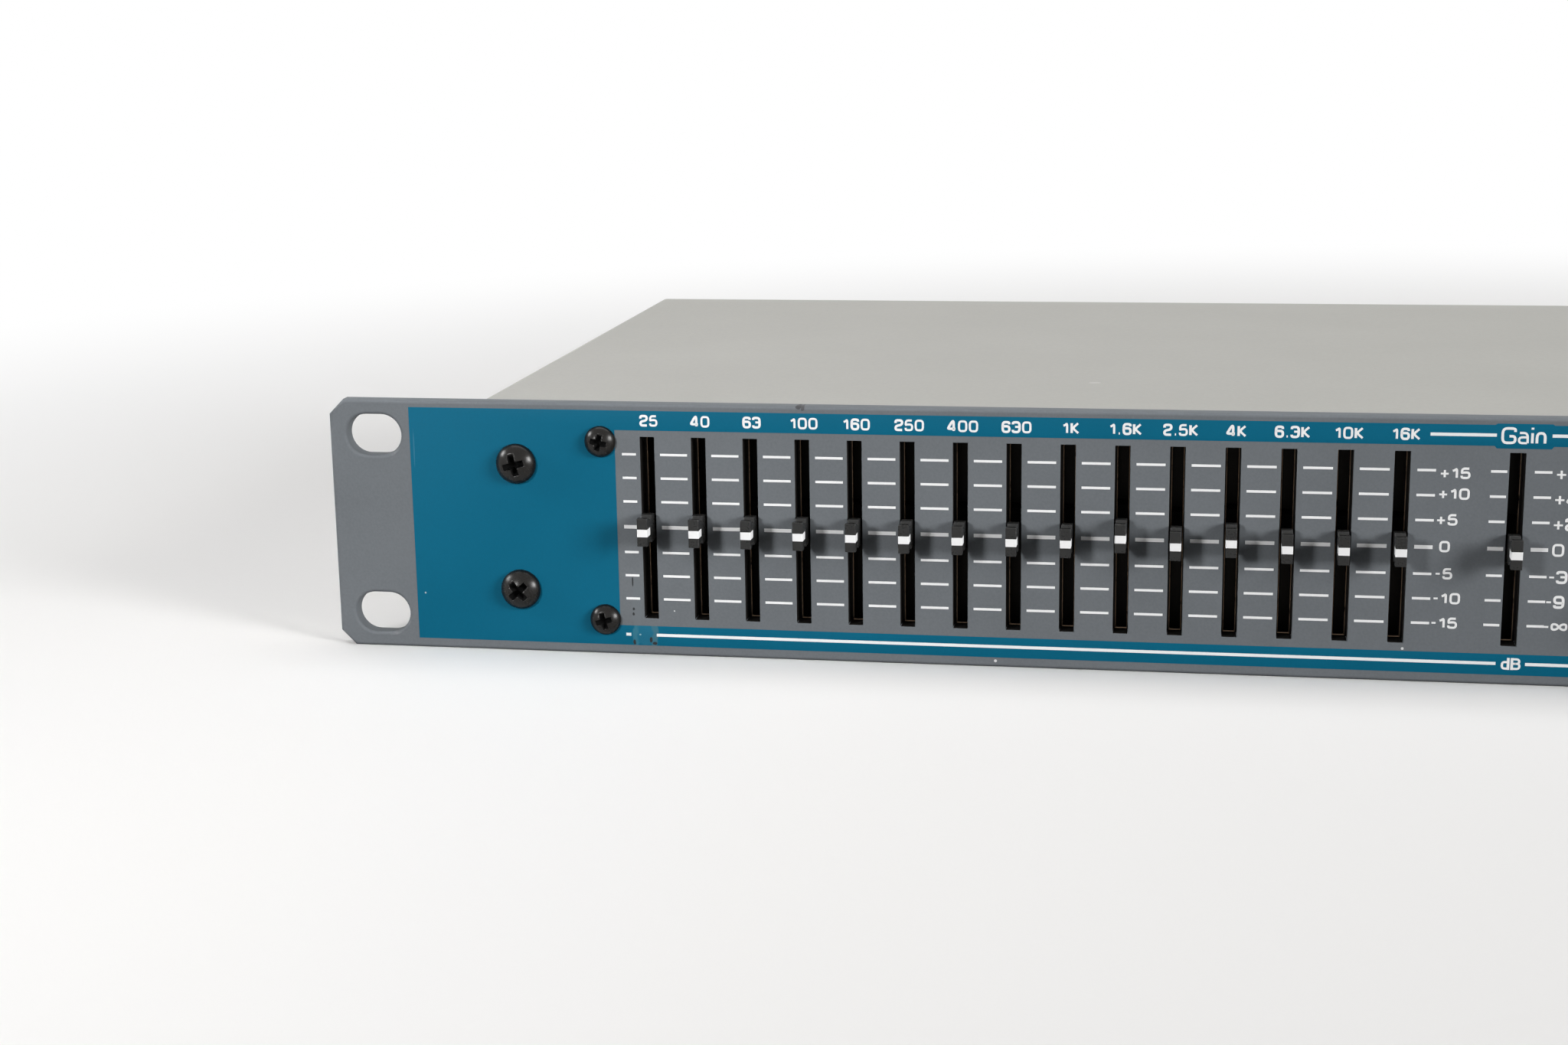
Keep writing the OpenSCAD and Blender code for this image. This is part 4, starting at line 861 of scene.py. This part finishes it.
def raise_shoulders(bm, z):
    """Lifts the rims behind the finger scoops, in front of the panel."""
    cut_faces(bm, (0, PANEL_FRONT - SHOULDER_BACK * MM, 0), (0, 1, 0))
    for vert in bm.verts:
        ahead = (PANEL_FRONT - vert.co.y) / MM
        side = (vert.co.z - z) / MM
        if SHOULDER_BACK - SHOULDER_SLACK < ahead < SHOULDER_FRONT and abs(side) > SHOULDER_OUT:
            vert.co.z += math.copysign(SHOULDER_RISE, side) * MM


def finish_fader(node):
    """A cap with softened edges and a white stripe painted round its front."""
    bm = joined_copy(node)
    z = middle_of_cap(bm)
    raise_shoulders(bm, z)
    round_edges(bm, CAP_ROUNDING, segments=2)
    top = z + STRIPE_TOP * MM
    bottom = z + STRIPE_BOTTOM * MM
    back = CAP_FRONT + STRIPE_DEPTH * MM
    cut_faces(bm, (0, 0, top), (0, 0, 1))
    cut_faces(bm, (0, 0, bottom), (0, 0, 1))
    cut_faces(bm, (0, back, 0), (0, 1, 0))
    finishes = ["fader_plastic", "white_ink", "recess_black"]
    for face in bm.faces:
        spot = face.calc_center_median()
        if bottom < spot.z < top and spot.y < back:
            face.material_index = finishes.index("white_ink")
        # Faces behind the panel's front get painted shade, a near-black finish
        elif spot.y > PANEL_FRONT + SHADE_DEPTH * MM:
            face.material_index = finishes.index("recess_black")
    hold_flat_faces(stand_for(node, bm, finishes))


def finish_faders():
    for channel in CHANNELS:
        for band in FADERS:
            finish_fader(fader_node(channel, band))


# Panel: the rounding of its outside and of all other edges, and the angle of the edges that get it
PANEL_ROUNDING = 0.6
HOLE_ROUNDING = 0.08
PANEL_ANGLE = 50.0
# The outside lies past this height, or at this distance from the ends, which takes in the rack slots
OUTSIDE_Z = 21.0
OUTSIDE_X = 14.0
# Fader slots: their places across the frame, half their width, reach of their corners, and half the
# height and width within which a slot's points lie
SLOT_X = [PANEL_LEFT + x * MM for x in FADER_X.values()]
SLOT_HALF = 1.25
SLOT_CORNER = 0.52
SLOT_HIGH = 17.5
SLOT_WIDE = 1.3
# Walls of the slots: half the width within which their middles lie, and how squarely they face across
WALL_WIDE = 1.6
WALL_FACING = 0.95


def on_panel_outside(spot):
    """Whether an edge lies on the panel's outside or in its rack slots."""
    x = from_left(spot.x)
    return abs(spot.z - PANEL_MID) > OUTSIDE_Z * MM or min(x, PANEL_W - x) < OUTSIDE_X


def near_slot(spot, wide):
    """Whether a point lies at the height of the fader slots and this close to the middle of one."""
    beside = min(abs(spot.x - x) for x in SLOT_X)
    return abs(spot.z - PANEL_MID) < SLOT_HIGH * MM and beside < wide * MM


def square_slot_corners(bm):
    """Draws the rounded corners of the fader slots out square."""
    near = [v for v in bm.verts if near_slot(v.co, SLOT_WIDE)]
    ends = (min(v.co.z for v in near), max(v.co.z for v in near))
    for vert in near:
        x = min(SLOT_X, key=lambda place: abs(vert.co.x - place))
        for end in ends:
            if abs(vert.co.z - end) < SLOT_CORNER * MM:
                vert.co.x = x + math.copysign(SLOT_HALF * MM, vert.co.x - x)
                vert.co.z = end


def finish_panel():
    """The panel with rounded edges, and painted shade, a near-black finish, on the side and end walls of
    its fader slots.
    """
    bm = joined_copy("front_panel", square_slot_corners)
    round_edges(bm, PANEL_ROUNDING, segments=3, sharp=PANEL_ANGLE, chosen=on_panel_outside)
    round_edges(bm, HOLE_ROUNDING, segments=1, sharp=PANEL_ANGLE)
    finishes = ["panel_paint", "slot_shade"]
    # Side and end walls of the fader slots get painted shade, a near-black finish
    for face in bm.faces:
        wall = max(abs(face.normal.x), abs(face.normal.z)) > WALL_FACING
        if wall and near_slot(face.calc_center_median(), WALL_WIDE):
            face.material_index = finishes.index("slot_shade")
    hold_flat_faces(stand_for("front_panel", bm, finishes))


# Screws in front of the panel: diameter and height of the head, length, width and depth of the cross
# recess, and how far the upper and the lower screws' recesses are turned, in degrees
FRONT_SCREWS = {
    "panel_screws": (7.0, 2.4, (4.3, 1.25, 1.9), 15.0, 42.0),
    "slider_board_screws": (5.4, 1.9, (3.3, 1.05, 1.5), -12.0, 15.0),
}
# The second finish is painted shade, a near-black finish, inside the cross recesses
SCREW_FINISHES = ["screw_black", "recess_black"]
# Pan heads: the straight rim's share of the height, how round the dome is, from 0 for a flat curve to 1
# for a round one, and the steps over the dome and round the head
RIM_SHARE = 0.16
DOME_ROUND = 0.55
DOME_STEPS = 9
HEAD_STEPS = 40
# Recesses: their size at the bottom as a share of that at the top, and the cutter's start above the head
CROSS_TAPER = 0.5
CROSS_LEAD = 0.05
# Heads of the solids, which the turned ones replace: how far before the panel their points are looked for,
# how many diameters apart the points of one head can be, and the slack at its seat
HEAD_LIFT = 0.5
HEAD_SPREAD = 1.1
SEAT_SLACK = 0.01


def pan_profile():
    """Shares of radius and height, from the seat's middle out to the rim and over the dome."""
    profile = [(0.0, 0.0), (1.0, 0.0)]
    for step in range(DOME_STEPS + 1):
        rise = math.sin(math.pi / 2 * step / DOME_STEPS)
        radius = math.sqrt(1.0 - rise ** 2)
        dome = DOME_ROUND * rise + (1.0 - DOME_ROUND) * rise ** 2
        profile.append((radius, RIM_SHARE + (1.0 - RIM_SHARE) * dome))
    return profile


def turn_head(bm, x, z, head, tall):
    """A pan head turned about its screw's axis, seated on the panel."""
    profile = [(x + r * head / 2 * MM, PANEL_FRONT - h * tall * MM, z) for r, h in pan_profile()]
    verts = [bm.verts.new(point) for point in profile]
    edges = [bm.edges.new(pair) for pair in zip(verts, verts[1:])]
    bmesh.ops.spin(bm, geom=verts + edges, cent=(x, 0, z), axis=(0, 1, 0), angle=math.tau,
                   steps=HEAD_STEPS, use_merge=True)


def cross_cutter(bm, x, z, tall, length, width, depth, turn):
    """A tapered cross that cuts the driver recess; turn runs anticlockwise as seen from the front."""
    a = length / 2 * MM
    b = width / 2 * MM
    corners = [(a, -b), (a, b), (b, b), (b, a), (-b, a), (-b, b),
               (-a, b), (-a, -b), (-b, -b), (-b, -a), (b, -a), (b, -b)]
    start = Matrix.Translation((x, PANEL_FRONT - (tall + CROSS_LEAD) * MM, z))
    place = start @ Matrix.Rotation(-math.radians(turn), 4, "Y")
    face = bm.faces.new([bm.verts.new(place @ Vector((u, 0, v))) for u, v in corners])
    grown = bmesh.ops.extrude_face_region(bm, geom=[face])
    inner = [part for part in grown["geom"] if isinstance(part, bmesh.types.BMVert)]
    centre = Matrix.Translation((-x, 0, -z))
    bmesh.ops.scale(bm, vec=(CROSS_TAPER, 1, CROSS_TAPER), space=centre, verts=inner)
    bmesh.ops.translate(bm, vec=(0, depth * MM, 0), verts=inner)


def cut_heads(heads, crosses):
    """The mesh that is left when the crosses are cut from the heads; cut faces get the second finish,
    painted shade.
    """
    made = []
    for name, bm in (("heads", heads), ("crosses", crosses)):
        bmesh.ops.remove_doubles(bm, verts=bm.verts, dist=MOVE_WELD * MM)
        bmesh.ops.recalc_face_normals(bm, faces=bm.faces)
        mesh = bpy.data.meshes.new(name)
        bm.to_mesh(mesh)
        bm.free()
        for finish in SCREW_FINISHES:
            mesh.materials.append(FINISHES[finish])
        made.append(bpy.data.objects.new(name, mesh))
        bpy.context.scene.collection.objects.link(made[-1])
    solid, cutter = made
    for polygon in cutter.data.polygons:
        polygon.material_index = SCREW_FINISHES.index("recess_black")
    cut = solid.modifiers.new("cut", "BOOLEAN")
    cut.operation = "DIFFERENCE"
    cut.solver = "EXACT"
    cut.object = cutter
    result = evaluated_mesh(solid)
    for thing in made:
        bpy.data.objects.remove(thing)
    return result


def screw_axes(points, head):
    """Middles of the screw heads that a set of points belongs to."""
    groups = []
    for point in points:
        for group in groups:
            if math.hypot(point.x - group[0].x, point.z - group[0].z) < HEAD_SPREAD * head:
                group.append(point)
                break
        else:
            groups.append([point])
    return [((min(p.x for p in group) + max(p.x for p in group)) / 2,
             (min(p.z for p in group) + max(p.z for p in group)) / 2) for group in groups]


def finish_front_screws(node, head, tall, cross, upper_turn, lower_turn):
    """Screws with turned heads in front of the panel, with painted shade, a near-black finish, inside
    their cross recesses.
    """
    bm = joined_copy(node)
    axes = screw_axes([v.co for v in bm.verts if v.co.y < PANEL_FRONT - HEAD_LIFT * MM], head * MM)
    plain = [f for f in bm.faces if f.calc_center_median().y < PANEL_FRONT + SEAT_SLACK * MM]
    bmesh.ops.delete(bm, geom=plain, context="FACES")
    bmesh.ops.holes_fill(bm, edges=[e for e in bm.edges if e.is_boundary], sides=0)
    heads = bmesh.new()
    crosses = bmesh.new()
    for x, z in axes:
        turn_head(heads, x, z, head, tall)
        cross_cutter(crosses, x, z, tall, *cross, upper_turn if z > PANEL_MID else lower_turn)
    bm.from_mesh(cut_heads(heads, crosses))
    stand_for(node, bm, SCREW_FINISHES)


# Studio: camera, lamps, floor and background

# Camera solved from the printed scale: its place, its turns about X, Y and Z in degrees, its lens and
# sensor, and the nearest and furthest that it sees, in metres
CAMERA_PLACE = (-88.69, -457.39, 111.74)
CAMERA_TURNS = (77.37054, 0.89143, 10.36847)
LENS = 54.45
SENSOR = 36.0
NEAR_CLIP = 0.01
FAR_CLIP = 50.0
# Lamps: place in metres, point that they face, width and height in metres, power in watts and spread in
# degrees, at a level where a colour renders about as it is written
LAMPS = {
    "left_softbox": ((-0.537, -0.7, 0.262), on_panel(30.0, 12.0), (0.12, 0.12), 0.205, 45.0),
    "right_softbox": ((1.577, -0.975, 0.573), on_panel(120.0, 0.0), (0.64, 0.64), 37.0, 180.0),
    "side_softbox": ((-1.263, -0.22, 0.578), on_panel(33.0, 0.0), (0.3, 0.3), 6.0, 180.0),
    "top_softbox": ((0.0, 0.2, 1.4), (0.0, 0.1, 0.0), (1.8, 0.7), 10.0, 180.0),
}
SKY_LEVEL = 0.03
# Floor: half its width, and where it starts and ends to fade to white, in metres from the middle
FLOOR_HALF = 6.0
FADE_START = 0.24
FADE_END = 0.62


def make_camera():
    data = bpy.data.cameras.new("photo_camera")
    data.lens = LENS
    data.sensor_width = SENSOR
    data.clip_start = NEAR_CLIP
    data.clip_end = FAR_CLIP
    camera = bpy.data.objects.new("photo_camera", data)
    bpy.context.scene.collection.objects.link(camera)
    turns = Euler([math.radians(turn) for turn in CAMERA_TURNS])
    camera.matrix_world = Matrix.LocRotScale(Vector(CAMERA_PLACE) * MM, turns, None)
    bpy.context.scene.camera = camera


def make_lamp(name, place, target, size, power, spread):
    data = bpy.data.lights.new(name, "AREA")
    data.shape = "RECTANGLE"
    data.size, data.size_y = size
    data.energy = power
    data.spread = math.radians(spread)
    lamp = bpy.data.objects.new(name, data)
    lamp.location = place
    lamp.rotation_mode = "QUATERNION"
    lamp.rotation_quaternion = (Vector(target) - Vector(place)).to_track_quat("-Z", "Y")
    bpy.context.scene.collection.objects.link(lamp)


def seen_directly(tree):
    """White for rays that show the background: straight, mirrored or through glass."""
    rays = add(tree, "ShaderNodeLightPath")
    seen = math_node(tree, "MAXIMUM", rays.outputs["Is Camera Ray"], rays.outputs["Is Glossy Ray"])
    return math_node(tree, "MAXIMUM", seen, rays.outputs["Is Transmission Ray"])


def make_floor_paint():
    """Pale floor that fades to the white background away from the object."""
    floor = Finish("floor_paint", (0.1, 0.097, 0.094), roughness=0.8, shine=0.1)
    tree = floor.tree
    floor.tint(seen_directly(tree), (0.9, 0.89, 0.88))
    away = add(tree, "ShaderNodeVectorMath", {"operation": "LENGTH"}, _0=floor.place)
    far = add(tree, "ShaderNodeMapRange", {"interpolation_type": "SMOOTHSTEP"},
              Value=away.outputs["Value"], From_Min=FADE_START, From_Max=FADE_END)
    white = add(tree, "ShaderNodeEmission", Strength=1.0)
    share = math_node(tree, "MULTIPLY", far.outputs["Result"], seen_directly(tree))
    mix = add(tree, "ShaderNodeMixShader", Fac=share)
    tree.links.new(floor.shader.outputs[0], mix.inputs[1])
    tree.links.new(white.outputs[0], mix.inputs[2])
    tree.links.new(mix.outputs[0], tree.nodes["Material Output"].inputs["Surface"])
    return floor.done()


def make_floor():
    bm = bmesh.new()
    bmesh.ops.create_grid(bm, x_segments=1, y_segments=1, size=FLOOR_HALF)
    mesh = bpy.data.meshes.new("floor")
    bm.to_mesh(mesh)
    bm.free()
    mesh.materials.append(make_floor_paint())
    floor = bpy.data.objects.new("floor", mesh)
    bpy.context.scene.collection.objects.link(floor)


def make_background():
    """White where it is seen, and a faint even light on the object."""
    world = bpy.data.worlds.new("studio")
    bpy.context.scene.world = world
    world.use_nodes = True
    tree = world.node_tree
    back = tree.nodes["Background"]
    back.inputs["Color"].default_value = (1.0, 1.0, 1.0, 1.0)
    level = add(tree, "ShaderNodeMapRange", Value=seen_directly(tree), To_Min=SKY_LEVEL, To_Max=1.0)
    tree.links.new(level.outputs["Result"], back.inputs["Strength"])


# Other solids whose edges are rounded: width, segments, least angle of an edge in degrees, and the nodes
HOUSING_ROUNDING = 0.16
ROUNDINGS = (
    (0.1, 2, ROUNDED_ANGLE, ("cover_screws", "socket_screws")),
    (0.06, 2, 60.0, ("indicator_lamps",)),
    (0.3, 2, ROUNDED_ANGLE, ("top_cover", "chassis_tray")),
    (0.3, 3, ROUNDED_ANGLE, ("power_rocker", "ch1_bypass_button", "ch2_bypass_button",
                             "switch_bodies")),
    (0.2, 2, ROUNDED_ANGLE, ("mains_inlet", "input_sockets", "output_sockets", "jack_sockets",
                             "jack_nuts", "contact_pins")),
)

clear_default_scene()
dress_solids()
print_teal()
print_scales()
print_numbers()
print_strips()
finish_faders()
finish_panel()
softened("fader_housings", HOUSING_ROUNDING, segments=2)
for node, sizes in FRONT_SCREWS.items():
    finish_front_screws(node, *sizes)
for width, segments, sharp, nodes in ROUNDINGS:
    for node in nodes:
        softened(node, width, segments, sharp)

make_floor()
make_background()
for name, lamp in LAMPS.items():
    make_lamp(name, *lamp)
make_camera()
bpy.context.scene.view_settings.view_transform = "Standard"
